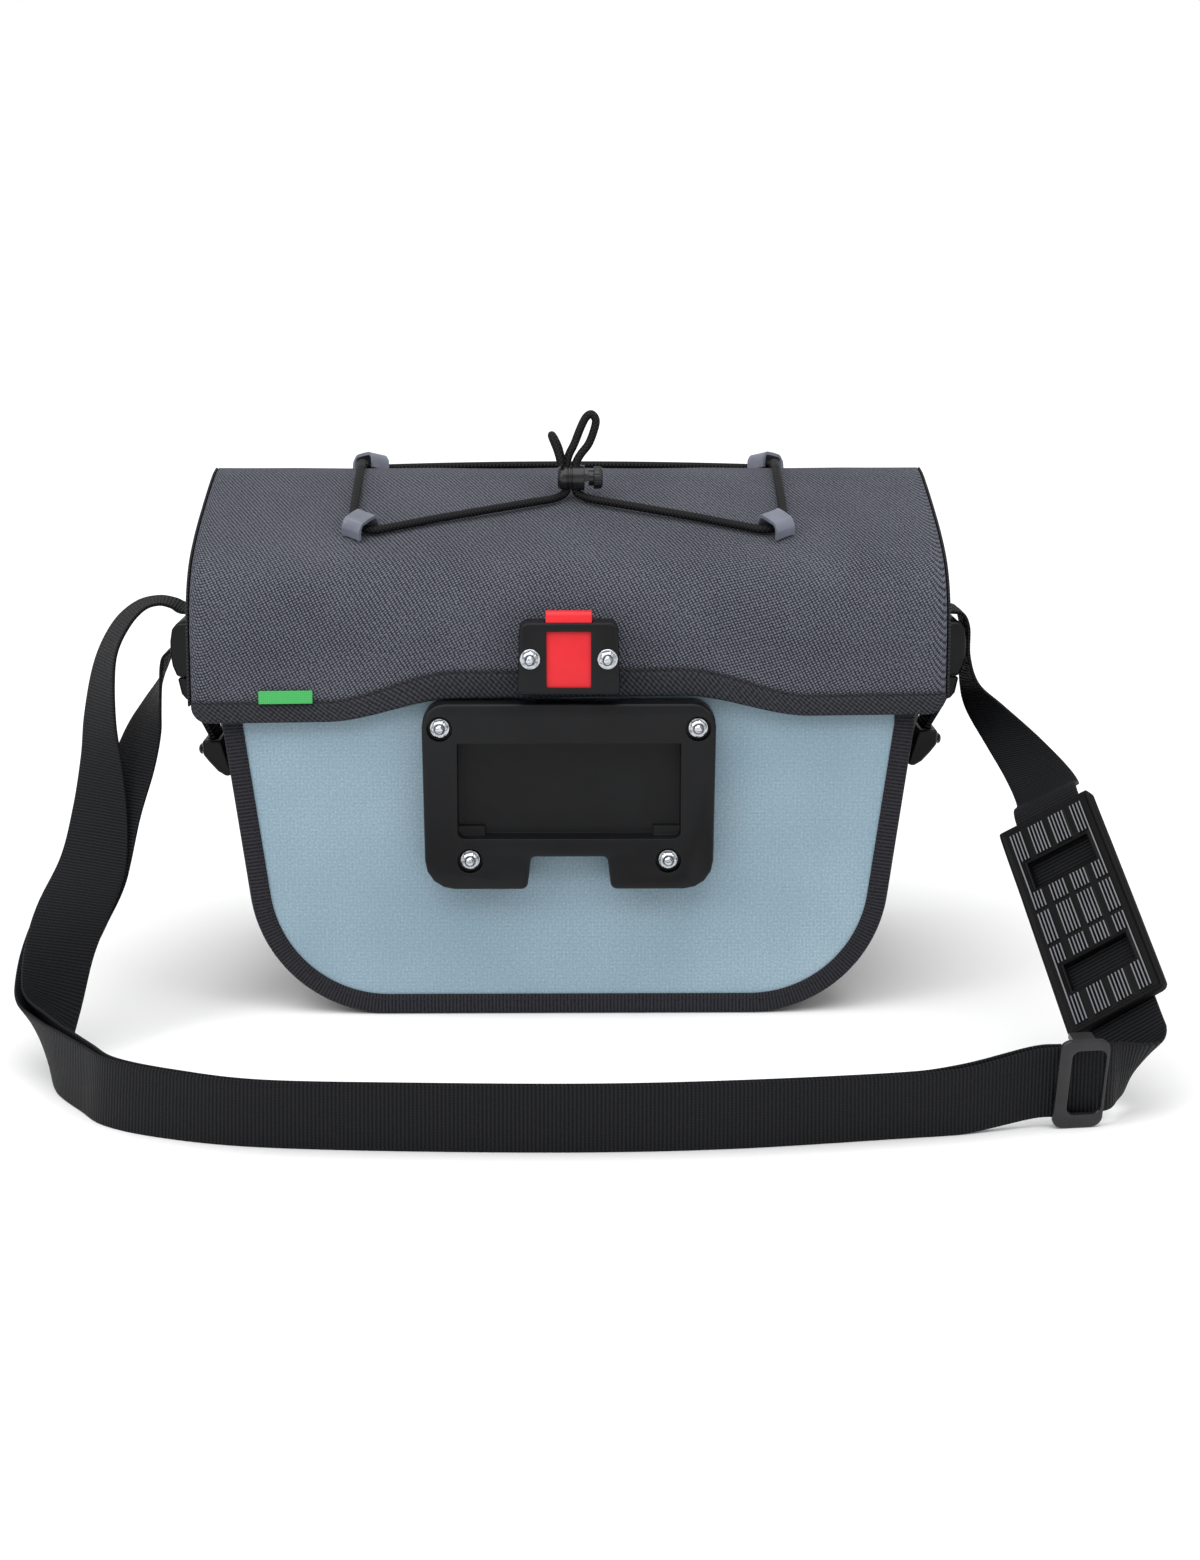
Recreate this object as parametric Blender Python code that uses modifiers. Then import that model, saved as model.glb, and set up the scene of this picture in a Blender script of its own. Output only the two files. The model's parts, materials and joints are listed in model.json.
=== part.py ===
"""Bicycle handlebar bag with a mounting plate, a buckled lid and a shoulder strap.

Metres, +Z up. The mounting side faces -Y and X points to the right. The origin is on the
surface that the bag stands on, under the outer face of the front panel.
"""
import bpy
import bmesh
import numpy as np
from math import atan2, cos, pi, radians, sin, sqrt, tan
from mathutils import Matrix, Vector

GAP = 0.0003                 # clearance between pieces that touch
TURNED_SIDES = 16             # facets of a turned piece

# Body: two stiffened panels joined by a gusset, with bound seams
BODY_WIDTH = 0.2470          # over the bindings, from the shoulder up
BASE_WIDTH = 0.2180          # where the side lines would meet the floor
SHOULDER_HEIGHT = 0.1060     # the sides taper up to here
BODY_HEIGHT = 0.1480         # open mouth of the body, under the lid
BODY_DEPTH = 0.1400          # outer face of the front panel to that of the rear panel
CORNER_RADIUS = 0.0500       # rounded lower corners
PANEL_WALL = 0.0020
GUSSET_WALL = 0.0018
GUSSET_BULGE = 0.0070        # how far the gusset swells out beyond the bound edges
BINDING_WALL = 0.0012
BINDING_FACE = 0.0074        # tape on the panel's face
BINDING_SIDE = 0.0055        # tape on the gusset

# Lid: a stiff arched sheet with end walls
LID_WIDTH = 0.2670
LID_CROWN_WIDTH = 0.2635     # the end walls lean in a little towards the crown
LID_FRONT = -0.0050          # outer face of the lid's front wall
LID_OVERHANG = 0.0150        # its rear wall stands this far behind the rear panel
LID_SHOULDER = 0.1400        # the front is upright up to here
LID_RISE = 0.0520            # crown above the shoulder
LID_WALL = 0.0025
LID_END_HEIGHT = 0.1095      # lower edge of the lid at its ends
HEM_LIFT = 0.0085            # the front edge rises this much round the latch
HEM_LIFT_INNER = 0.0400      # half width of the lifted part
HEM_LIFT_OUTER = 0.0860      # where the lift has died away
HEM_WIDTH = 0.0078
HEM_EXTRA = 0.0024           # the hem is wider over the lifted part
HEM_SKEW = 0.0015            # the lid sits this much higher at its right end, lower at its left
HEM_WALL = 0.0010
HEM_CORNER = 0.0060
END_TAPE_WIDTH = 0.0070      # binding on the lid's end seams
END_TAPE_WALL = 0.0008
LABEL_WIDTH = 0.0190
LABEL_HEIGHT = 0.0046
LABEL_WALL = 0.0010
LABEL_X = -0.1000            # centre of the label on the hem's seam

# Mounting plate, latch housing and their fasteners
PLATE_WIDTH = 0.1040
PLATE_FOOT = 0.1022          # the plate narrows a little towards its foot
PLATE_DROP = 0.0018          # the plate's top lies this far below the raised hem
PLATE_HEIGHT = 0.0670
PLATE_THICK = 0.0130
PLATE_TOP_RADIUS = 0.0080
PLATE_FOOT_RADIUS = 0.0105
PLATE_BEVEL = 0.0012
POCKET_WIDTH = 0.0790
POCKET_HEIGHT = 0.0343
POCKET_RISE = 0.0184         # above the plate's foot
POCKET_DEPTH = 0.0110
POCKET_RADIUS = 0.0025
POCKET_STEP = 0.0095         # length of the step in each lower pocket corner
POCKET_STEP_HEIGHT = 0.0034
POCKET_STEP_DEPTH = 0.0045
NOTCH_WIDTH = 0.0298
NOTCH_TOP_WIDTH = 0.0272
NOTCH_HEIGHT = 0.0118
NUT_UPPER_SPACING = 0.0912
NUT_UPPER_DROP = 0.0091      # below the plate's top
NUT_LOWER_SPACING = 0.0704
NUT_LOWER_RISE = 0.0104      # above the plate's foot
NUT_RECESS = 0.0090          # diameter of the recess round each plate nut
NUT_RECESS_DEPTH = 0.0034
BOLT = 0.0030
BOLT_HEAD = 0.0060
BOLT_HEAD_THICK = 0.0016
BOLT_END = 0.0012            # stands out of the nut
NUT_FLATS = 0.0055
NUT_THICK = 0.0024
WASHER = 0.0070
WASHER_THICK = 0.0006
HOUSING_WIDTH = 0.0345
HOUSING_FOOT = 0.0360
HOUSING_RISE = 0.0022        # above the raised hem's lower edge
HOUSING_HEIGHT = 0.0254
HOUSING_THICK = 0.0124
HOUSING_RADIUS = 0.0030
HOUSING_BEVEL = 0.0010
LATCH_NUT_SPACING = 0.0270
LATCH_NUT_RISE = 0.0127      # above the housing's foot
BUTTON_WIDTH = 0.0162
BUTTON_THICK = 0.0056
BUTTON_FACE = 0.0012         # the button's face lies this far behind the housing's
BUTTON_PROUD = 0.0038        # stands above the housing
BUTTON_TRAVEL = 0.0034
BUTTON_FOOT = 0.0020         # the button ends this far above the housing's foot
WINDOW_HEIGHT = 0.0197
WINDOW_BOTTOM = 0.0025       # above the housing's foot
BUTTON_LIP = 0.0016          # lip along the button's top edge

# Elastic cord on the lid, its four tabs and its lock
CORD = 0.0030
TAB_SPACING = 0.1556         # across the bag
TAB_FRONT = 0.0160
TAB_REAR = 0.0900
CORD_BOW = 0.0014            # the rear run bows up this much in its middle
TAB_LENGTH = 0.0080
TAB_INSIDE = 0.0090
TAB_WALL = 0.0012
TAB_ROUND = 0.0080           # the cord turns with this radius under a tab
LOCK_X = 0.0010
LOCK_Y = 0.0425
LOCK_LIFT = 0.0088           # axis of the lock above the lid
BARREL = 0.0092
BARREL_LENGTH = 0.0098
BARREL_WALL = 0.0013
PLUNGER_HEAD = 0.0082
PLUNGER_HEAD_THICK = 0.0034
PLUNGER_TRAVEL = 0.0030

# Side closures: a buckle, a doubled webbing and an anchor on the gusset
BUCKLE_Y = 0.0420
BUCKLE_WIDTH = 0.0310
BUCKLE_THICK = 0.0092
BUCKLE_TOP = 0.1395
BUCKLE_SEAM = 0.1195         # where socket and plug meet
BUCKLE_FOOT = 0.1110
BUCKLE_BAR = 0.0045          # bar at the socket's top that the strap loops round
BUCKLE_STANDOFF = 0.0024     # between the lid's end wall and the buckle
BUCKLE_BEVEL = 0.0006
CLOSURE_WIDTH = 0.0200
CLOSURE_WALL = 0.0026
CLOSURE_SEAT = 0.27          # share of the buckle's thickness where the webbing enters it
ANCHOR_TOP = 0.0975
ANCHOR_FOOT = 0.0840
ANCHOR_SKEW = 0.0017         # the right anchor sits this much higher, the left one lower
ANCHOR_THICK = 0.0070
ANCHOR_WIDTH = 0.0270
RIVET = 0.0044
RIVET_SHANK = 0.0020

# Shoulder strap
WEB_WIDTH = 0.0250
WEB_WALL = 0.0014
LAYER_SLACK = 0.0018         # extra room between the two layers where the strap folds
STRAP_REACH = 0.0350         # the left loop stands this far outside the buckles
STRAP_FORWARD = 0.1980       # the front run lies this far before the buckles
SLIDER_HEIGHT = 0.0312
SLIDER_LENGTH = 0.0164
SLIDER_BAR = 0.0042          # the bars that the strap passes behind
SLIDER_BACK_BAR = 0.0036     # the bar that it passes in front of
SLIDER_WALL = 0.0015
SLIDER_WINDOW = 0.0222       # height of the opening in front
SLIDER_YAW = 8.0             # degrees, the slider's length away from X
PAD_LENGTH = 0.0770
PAD_WIDTH = 0.0360
PAD_WALL = 0.0030
PAD_SLOT = 0.0100            # each of the two windows that the strap shows through, along the pad
PAD_SLOT_WIDTH = 0.0245
PAD_SLOT_INSET = 0.0138      # from the pad's end

HALF_BODY = BODY_WIDTH / 2
HALF_LID = LID_WIDTH / 2
LID_DEPTH = BODY_DEPTH + LID_OVERHANG - LID_FRONT
LID_MID_Y = LID_FRONT + LID_DEPTH / 2
HEM_FACE = LID_FRONT - GAP - HEM_WALL
HOUSING_BACK = HEM_FACE - GAP
HOUSING_FACE = HOUSING_BACK - HOUSING_THICK
HEM_RAISED = LID_END_HEIGHT + HEM_LIFT
PLATE_FACE = -GAP - PLATE_THICK
PLATE_TOP = HEM_RAISED - PLATE_DROP
PLATE_BOTTOM = PLATE_TOP - PLATE_HEIGHT
POCKET_BOTTOM = PLATE_BOTTOM + POCKET_RISE
NUT_UPPER_HEIGHT = PLATE_TOP - NUT_UPPER_DROP
NUT_LOWER_HEIGHT = PLATE_BOTTOM + NUT_LOWER_RISE
HOUSING_BOTTOM = HEM_RAISED + HOUSING_RISE
LATCH_NUT_HEIGHT = HOUSING_BOTTOM + LATCH_NUT_RISE
BOLT_HOLE = BOLT + 2 * GAP
LAYER = WEB_WALL + 2 * GAP
BUCKLE_X = HALF_LID + BUCKLE_STANDOFF + BUCKLE_THICK / 2
BUCKLE_SLOT_TOP = BUCKLE_TOP - BUCKLE_BAR
BUCKLE_SLOT_BOTTOM = BUCKLE_SEAM + 0.22 * (BUCKLE_TOP - BUCKLE_SEAM)

# The strap's sections. across: share of the buckles' distance from the middle; out: share of
# STRAP_REACH beyond that, to the left; forward: share of STRAP_FORWARD before the buckles;
# up: share of BUCKLE_TOP, of the lower edge; turn and rise: direction across the webbing, in
# degrees, from its lower or near edge to its upper or far edge.
SECTION_COLUMNS = ("across", "out", "forward", "up", "turn", "rise")
FRONT_RUN = (
    (1.098, 0.0, 0.890, 0.029, 262, 77),
    (1.031, 0.0, 0.896, 0.027, 262, 76),
    (0.869, 0.0, 0.930, 0.006, 261, 72),
    (0.708, 0.0, 0.954, 0.0, 261, 69),
    (0.364, 0.0, 0.995, 0.0, 266, 71),
    (0.040, 0.0, 1.010, 0.0, 270, 71),
    (-0.344, 0.0, 1.002, 0.0, 275, 71),
    (-0.677, 0.0, 0.980, 0.0, 280, 70),
    (-0.879, 0.0, 0.934, 0.0, 287, 73),
    (-1.000, 0.093, 0.872, 0.0, 292, 74),
    (-1.000, 0.373, 0.795, 0.0, 288, 74),
)
LEFT_TURN = (
    (-1.000, 0.683, 0.700, 0.0, 275, 74),
    (-1.000, 0.893, 0.612, 0.020, 250, 62),
    (-1.000, 0.988, 0.560, 0.070, 226, 44),
)
LEFT_LEG = (
    (-1.000, 0.998, 0.520, 0.150, 218, 24),
    (-1.000, 0.973, 0.466, 0.243, 208, 14),
    (-1.000, 0.903, 0.400, 0.325, 188, 10),
    (-1.000, 0.778, 0.312, 0.424, 165, 6),
)
OUTER_ARCH = (
    (-1.000, 0.758, 0.240, 0.540, 149, 2),
    (-1.000, 0.793, 0.170, 0.655, 135, 1),
    (-1.000, 0.843, 0.120, 0.753, 126, 0),
    (-1.000, 0.833, 0.085, 0.859, 118, 0),
    (-1.000, 0.783, 0.055, 0.932, 112, 0),
    (-1.000, 0.653, 0.030, 0.995, 109, 0),
    (-1.000, 0.480, 0.012, 1.035, 104, 0),
    (-1.000, 0.300, 0.004, 1.047, 98, 0),
    (-1.000, 0.150, 0.001, 1.040, 94, 0),
    (-1.000, 0.040, 0.000, 1.026, 91, 0),
)
INNER_ARCH = (
    (-1.000, 0.632, 0.232, 0.535, 147, 0),
    (-1.000, 0.480, 0.166, 0.648, 136, 0),
    (-1.000, 0.390, 0.118, 0.730, 126, 0),
    (-1.000, 0.330, 0.080, 0.785, 112, 0),
    (-1.000, 0.270, 0.035, 0.840, 97, 0),
)
# Right leg, from the buckle's bar to the pad; out is to the right here
RIGHT_LEG = (
    (1.000, 0.000, 0.000, 1.022, 90, 0),
    (1.000, 0.110, 0.000, 1.016, 90, 0),
    (1.000, 0.170, 0.000, 0.980, 90, 0),
    (1.000, 0.172, 0.012, 0.900, 90, -2),
    (1.000, 0.195, 0.055, 0.820, 97, -8),
    (1.000, 0.305, 0.111, 0.765, 113, -12),
    (1.000, 0.520, 0.202, 0.696, 131, -14),
    (1.000, 0.683, 0.293, 0.631, 142, -19),
    (1.000, 0.733, 0.370, 0.586, 148, -26),
)
# The pad's middle line, on the strap, as the same columns
PAD_LINE = (
    (1.000, 0.609, 0.479, 0.582, 151, -31),
    (1.000, 0.792, 0.582, 0.424, 155, -32),
    (1.000, 0.946, 0.670, 0.290, 160, -33),
    (1.000, 1.129, 0.773, 0.131, 166, -34),
)
RIGHT_TAIL = (
    (1.000, 1.243, 0.762, 0.112, 145, -42),
    (1.000, 1.400, 0.739, 0.104, 98, -42),
    (1.000, 1.273, 0.734, 0.062, 84, -46),
    (1.000, 1.003, 0.806, 0.028, 76, -58),
    (1.203, 0.0, 0.879, 0.029, 80, -75),
    (1.102, 0.0, 0.890, 0.029, 82, -77),
)
# The slider's place on the front run, as the same columns
SLIDER_PLACE = (1.139, 0.0, 0.886, 0.029, 262, 77)
# Elastic loop above the lock: sideways, back and up from the lock's axis, in cord diameters
BIGHT = (
    (0.55, 0.0, 0.0), (0.55, 0.0, 1.6), (1.15, 0.1, 2.8), (2.15, 0.3, 4.1), (2.85, 0.5, 5.9),
    (3.00, 0.55, 7.0), (2.50, 0.6, 7.65), (1.85, 0.6, 7.3), (1.20, 0.5, 6.1), (0.40, 0.3, 4.1),
    (-0.25, 0.1, 2.8), (-0.55, 0.0, 1.6), (-0.55, 0.0, 0.0),
)
PULL_LOOP = (
    (-1.30, -0.90, 1.66), (-1.38, -0.90, 2.4), (-1.75, -0.75, 3.6), (-2.20, -0.50, 4.7),
    (-2.35, 0.10, 5.15), (-2.05, 0.60, 4.7), (-1.55, 0.80, 3.6), (-1.25, 0.90, 2.4),
    (-1.25, 0.90, 1.66),
)
# The lid's arch from its front to its crown. back: share of half the lid's depth; up: share of
# LID_RISE above the shoulder
ARCH_COLUMNS = ("back", "up")
LID_ARCH = (
    (0.0, 0.0), (0.015, 0.173), (0.050, 0.317), (0.100, 0.423), (0.165, 0.506), (0.275, 0.602),
    (0.390, 0.684), (0.520, 0.765), (0.650, 0.842), (0.775, 0.912), (0.890, 0.970), (1.0, 1.0),
)
# Outlines seen from the front, in shares: out of the thickness, up of the height
SOCKET_OUTLINE = (
    (0.0, 0.0), (0.76, 0.0), (0.93, 0.20), (1.0, 0.42), (1.0, 0.66), (0.92, 0.88), (0.72, 1.0),
    (0.22, 1.0), (0.0, 0.89),
)
PLUG_OUTLINE = ((0.10, 0.0), (0.42, 0.0), (0.62, 0.28), (0.76, 1.0), (0.0, 1.0), (0.0, 0.16))
ANCHOR_OUTLINE = (
    (0.0, 1.0), (1.0, 1.0), (1.22, 0.62), (1.02, 0.40), (0.72, 0.14), (0.36, 0.0), (0.0, 0.06),
)


def clear_scene():
    for item in list(bpy.data.objects):
        bpy.data.objects.remove(item, do_unlink=True)


def make_collection(name):
    group = bpy.data.collections.new(name)
    bpy.context.scene.collection.children.link(group)
    return group


clear_scene()
PARTS = make_collection("handlebar_bag")
CUTTERS = make_collection("cutters")


def make_material(name, colour, roughness, metallic=0.0):
    made = bpy.data.materials.new(name)
    made.use_nodes = True
    shader = made.node_tree.nodes["Principled BSDF"]
    shader.inputs["Base Color"].default_value = (*colour, 1.0)
    shader.inputs["Roughness"].default_value = roughness
    shader.inputs["Metallic"].default_value = metallic
    return made


MATERIALS = {
    "blue_fabric": make_material("blue_coated_fabric", (0.33, 0.47, 0.56), 0.55),
    "grey_fabric": make_material("grey_woven_fabric", (0.075, 0.080, 0.105), 0.85),
    "dark_fabric": make_material("anthracite_fabric", (0.050, 0.050, 0.058), 0.80),
    "tape": make_material("black_binding_tape", (0.026, 0.026, 0.030), 0.85),
    "webbing": make_material("black_webbing", (0.010, 0.010, 0.011), 0.80),
    "plastic": make_material("black_plastic", (0.022, 0.022, 0.024), 0.38),
    "red": make_material("red_plastic", (0.82, 0.035, 0.045), 0.35),
    "zinc": make_material("zinc_steel", (0.72, 0.73, 0.75), 0.25, 1.0),
    "tab": make_material("grey_tab_plastic", (0.17, 0.18, 0.22), 0.40),
    "elastic": make_material("black_elastic", (0.012, 0.012, 0.013), 0.75),
    "rubber": make_material("black_rubber", (0.016, 0.016, 0.017), 0.55),
    "label": make_material("green_label", (0.10, 0.56, 0.16), 0.60),
}


def add_object(name, mesh, material, group=None):
    thing = bpy.data.objects.new(name, mesh)
    (group or PARTS).objects.link(thing)
    if material:
        mesh.materials.append(MATERIALS[material])
    return thing


def mesh_from_bmesh(name, shape):
    mesh = bpy.data.meshes.new(name)
    bmesh.ops.recalc_face_normals(shape, faces=shape.faces)
    shape.to_mesh(mesh)
    shape.free()
    return mesh


def smooth(thing, angle=35):
    thing.data.shade_smooth()
    thing.data.set_sharp_from_angle(angle=radians(angle))


def bevel(thing, width, segments=2, angle=30):
    rounding = thing.modifiers.new("rounded_edges", "BEVEL")
    rounding.width = width
    rounding.segments = segments
    rounding.limit_method = "ANGLE"
    rounding.angle_limit = radians(angle)


def solidify(thing, wall, outward):
    shell = thing.modifiers.new("wall", "SOLIDIFY")
    shell.thickness = wall
    shell.offset = 1.0 if outward else -1.0
    shell.use_even_offset = True
    shell.use_rim = True


def cut(thing, *cutters):
    for cutter in cutters:
        boolean = thing.modifiers.new("cut", "BOOLEAN")
        boolean.operation = "DIFFERENCE"
        boolean.object = cutter
        boolean.solver = "EXACT"


def as_cutter(thing):
    thing.hide_render = True
    thing.display_type = "WIRE"
    return thing


def block(name, low, high, material=None):
    """Box between two corners; without a material it is a cutter."""
    shape = bmesh.new()
    size = Vector(high) - Vector(low)
    middle = (Vector(high) + Vector(low)) / 2
    place = Matrix.Translation(middle) @ Matrix.Diagonal((*size, 1.0))
    bmesh.ops.create_cube(shape, size=1.0, matrix=place)
    thing = add_object(name, mesh_from_bmesh(name, shape), material, None if material else CUTTERS)
    return thing if material else as_cutter(thing)


def rod(name, start, end, diameter, sides=TURNED_SIDES, material=None):
    """Round bar between two points; without a material it is a cutter."""
    run = Vector(end) - Vector(start)
    shape = bmesh.new()
    turned_to = run.to_track_quat("Z", "Y").to_matrix().to_4x4()
    place = Matrix.Translation((Vector(start) + Vector(end)) / 2) @ turned_to
    bmesh.ops.create_cone(shape, cap_ends=True, segments=sides, radius1=diameter / 2,
                          radius2=diameter / 2, depth=run.length, matrix=place)
    thing = add_object(name, mesh_from_bmesh(name, shape), material, None if material else CUTTERS)
    return thing if material else as_cutter(thing)


def prism(name, outline, y_low, y_high, material=None):
    """Flat XZ outline carried along Y; without a material it is a cutter."""
    shape = bmesh.new()
    corners = [shape.verts.new((x, y_low, z)) for x, z in outline]
    face = shape.faces.new(corners)
    moved = bmesh.ops.extrude_face_region(shape, geom=[face])["geom"]
    corners = [item for item in moved if isinstance(item, bmesh.types.BMVert)]
    bmesh.ops.translate(shape, verts=corners, vec=(0.0, y_high - y_low, 0.0))
    thing = add_object(name, mesh_from_bmesh(name, shape), material, None if material else CUTTERS)
    return thing if material else as_cutter(thing)


def turned(name, profile, place, material, steps=TURNED_SIDES):
    """Profile of (radius, height) turned round its axis, which place puts in the model."""
    mesh = bpy.data.meshes.new(name)
    closed = profile[0][0] > 0.0
    count = len(profile)
    edges = [(i, (i + 1) % count) for i in range(count if closed else count - 1)]
    mesh.from_pydata([(r, 0.0, z) for r, z in profile], edges, [])
    thing = add_object(name, mesh, material)
    screw = thing.modifiers.new("turned", "SCREW")
    screw.axis = "Z"
    screw.steps = steps
    screw.render_steps = steps
    screw.use_merge_vertices = True
    screw.merge_threshold = 0.00001
    screw.use_smooth_shade = False
    thing.matrix_world = place
    return thing


def grid_mesh(name, points, closed_rows=False):
    """Mesh of quads over points[row][column]; closed_rows joins the last column to the first."""
    rows, columns = points.shape[:2]
    mesh = bpy.data.meshes.new(name)
    spans = columns if closed_rows else columns - 1
    faces = [(r * columns + c, r * columns + (c + 1) % columns,
              (r + 1) * columns + (c + 1) % columns, (r + 1) * columns + c)
             for r in range(rows - 1) for c in range(spans)]
    if closed_rows:
        faces.append(tuple(range(columns - 1, -1, -1)))
        faces.append(tuple((rows - 1) * columns + c for c in range(columns)))
    mesh.from_pydata(points.reshape(-1, 3).tolist(), [], faces)
    return mesh


def facing_out(mesh):
    shape = bmesh.new()
    shape.from_mesh(mesh)
    bmesh.ops.remove_doubles(shape, verts=shape.verts, dist=0.00001)
    bmesh.ops.recalc_face_normals(shape, faces=shape.faces)
    shape.to_mesh(mesh)
    shape.free()
    return mesh


def round_corner(corner, before, after, radius, steps=4):
    """Points of the arc that rounds a corner between two straight sides."""
    corner, before, after = (np.array(p, float) for p in (corner, before, after))
    back = (before - corner) / np.linalg.norm(before - corner)
    ahead = (after - corner) / np.linalg.norm(after - corner)
    half_angle = np.arccos(np.clip(back @ ahead, -1.0, 1.0)) / 2
    reach = radius / tan(half_angle)
    middle = corner + (back + ahead) / np.linalg.norm(back + ahead) * radius / sin(half_angle)
    start, end = corner + back * reach - middle, corner + ahead * reach - middle
    sweep = pi - 2 * half_angle
    shares = np.linspace(0.0, 1.0, steps + 1)[:, None]
    arc = (np.sin((1 - shares) * sweep) * start + np.sin(shares * sweep) * end) / sin(sweep)
    return [tuple(p) for p in middle + arc]


def rounded_outline(corners):
    """Outline from (x, z, radius) corners, with an arc where the radius is not zero."""
    outline = []
    for i, (x, z, radius) in enumerate(corners):
        before, after = corners[i - 1][:2], corners[(i + 1) % len(corners)][:2]
        outline += round_corner((x, z), before, after, radius) if radius else [(x, z)]
    return outline


def catmull_rom(rows, steps):
    """Smooth rows through the given ones, with steps spans between two of them."""
    rows = np.array(rows, float)
    padded = np.vstack([2 * rows[0] - rows[1], rows, 2 * rows[-1] - rows[-2]])
    made = []
    for p0, p1, p2, p3 in zip(padded, padded[1:], padded[2:], padded[3:]):
        t = np.linspace(0.0, 1.0, steps, endpoint=False)[:, None]
        made.append(0.5 * (2 * p1 + (p2 - p0) * t + (2 * p0 - 5 * p1 + 4 * p2 - p3) * t ** 2
                           + (3 * p1 - p0 - 3 * p2 + p3) * t ** 3))
    return np.vstack(made + [rows[-1:]])


def ribbon(name, middle, across, width, wall, material=None):
    """Flat band: a rectangle carried along its middle line, no lower than the floor.

    Without a material it is a cutter.
    """
    along = np.gradient(middle, axis=0)
    across = across / np.linalg.norm(across, axis=1)[:, None]
    normal = np.cross(along, across)
    normal /= np.linalg.norm(normal, axis=1)[:, None]
    corners = ((-1, -1), (1, -1), (1, 1), (-1, 1))
    rings = np.stack([middle + across * a * width / 2 + normal * n * wall / 2 for a, n in corners], 1)
    rings[:, :, 2] += np.maximum(0.0, -rings[:, :, 2].min(axis=1))[:, None]
    mesh = facing_out(grid_mesh(name, rings, closed_rows=True))
    thing = add_object(name, mesh, material, None if material else CUTTERS)
    return thing if material else as_cutter(thing)


def tube(name, points, diameter, cyclic=False, material="elastic"):
    curve = bpy.data.curves.new(name, "CURVE")
    curve.dimensions = "3D"
    curve.bevel_depth = diameter / 2
    curve.bevel_resolution = 2
    curve.use_fill_caps = not cyclic
    spline = curve.splines.new("POLY")
    spline.points.add(len(points) - 1)
    for point, (x, y, z) in zip(spline.points, points):
        point.co = (x, y, z, 1.0)
    spline.use_cyclic_u = cyclic
    thing = bpy.data.objects.new(name, curve)
    PARTS.objects.link(thing)
    curve.materials.append(MATERIALS[material])
    return thing


SIDE_SLOPE = (BODY_WIDTH - BASE_WIDTH) / 2 / SHOULDER_HEIGHT


def body_path(inset, top=BODY_HEIGHT, arc_steps=8):
    """Right half of the body's outline, from the middle of its foot up to its mouth."""
    tilt = np.arctan(SIDE_SLOPE)
    centre_x = BASE_WIDTH / 2 + CORNER_RADIUS * SIDE_SLOPE - CORNER_RADIUS / cos(tilt)
    radius = CORNER_RADIUS - inset
    path = [(0.0, inset), (centre_x / 2, inset)]
    for turn in np.linspace(-pi / 2, -tilt, arc_steps + 1):
        path.append((centre_x + radius * cos(turn), CORNER_RADIUS + radius * sin(turn)))
    low_x, low_z = path[-1]
    high_x = HALF_BODY - inset
    path += [(low_x + (high_x - low_x) * s, low_z + (SHOULDER_HEIGHT - low_z) * s) for s in (0.5, 1.0)]
    path += [(high_x, (SHOULDER_HEIGHT + top) / 2), (high_x, top)]
    return path


def whole_path(inset, top=BODY_HEIGHT):
    half = body_path(inset, top)
    return [(-x, z) for x, z in reversed(half[1:])] + half


def gusset_bulge(y, z):
    """How far the gusset stands out of the bound outline at depth y and height z."""
    start, end = BINDING_SIDE + GAP, BODY_DEPTH - BINDING_SIDE - GAP
    share = np.clip((y - start) / (end - start), 0.0, 1.0) * 2 - 1
    rising = np.clip(z / SHOULDER_HEIGHT, 0.0, 1.0) ** 3
    return (GUSSET_BULGE + BINDING_WALL + GAP) * rising * (1 - share ** 4)


def gusset_half_width(y, z):
    """Half width of the gusset's outer face at depth y and height z."""
    path = [(x + gusset_bulge(y, height), height) for x, height in body_path(BINDING_WALL + GAP)]
    return float(np.interp(z, [height for _, height in path], [x for x, _ in path]))


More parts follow.
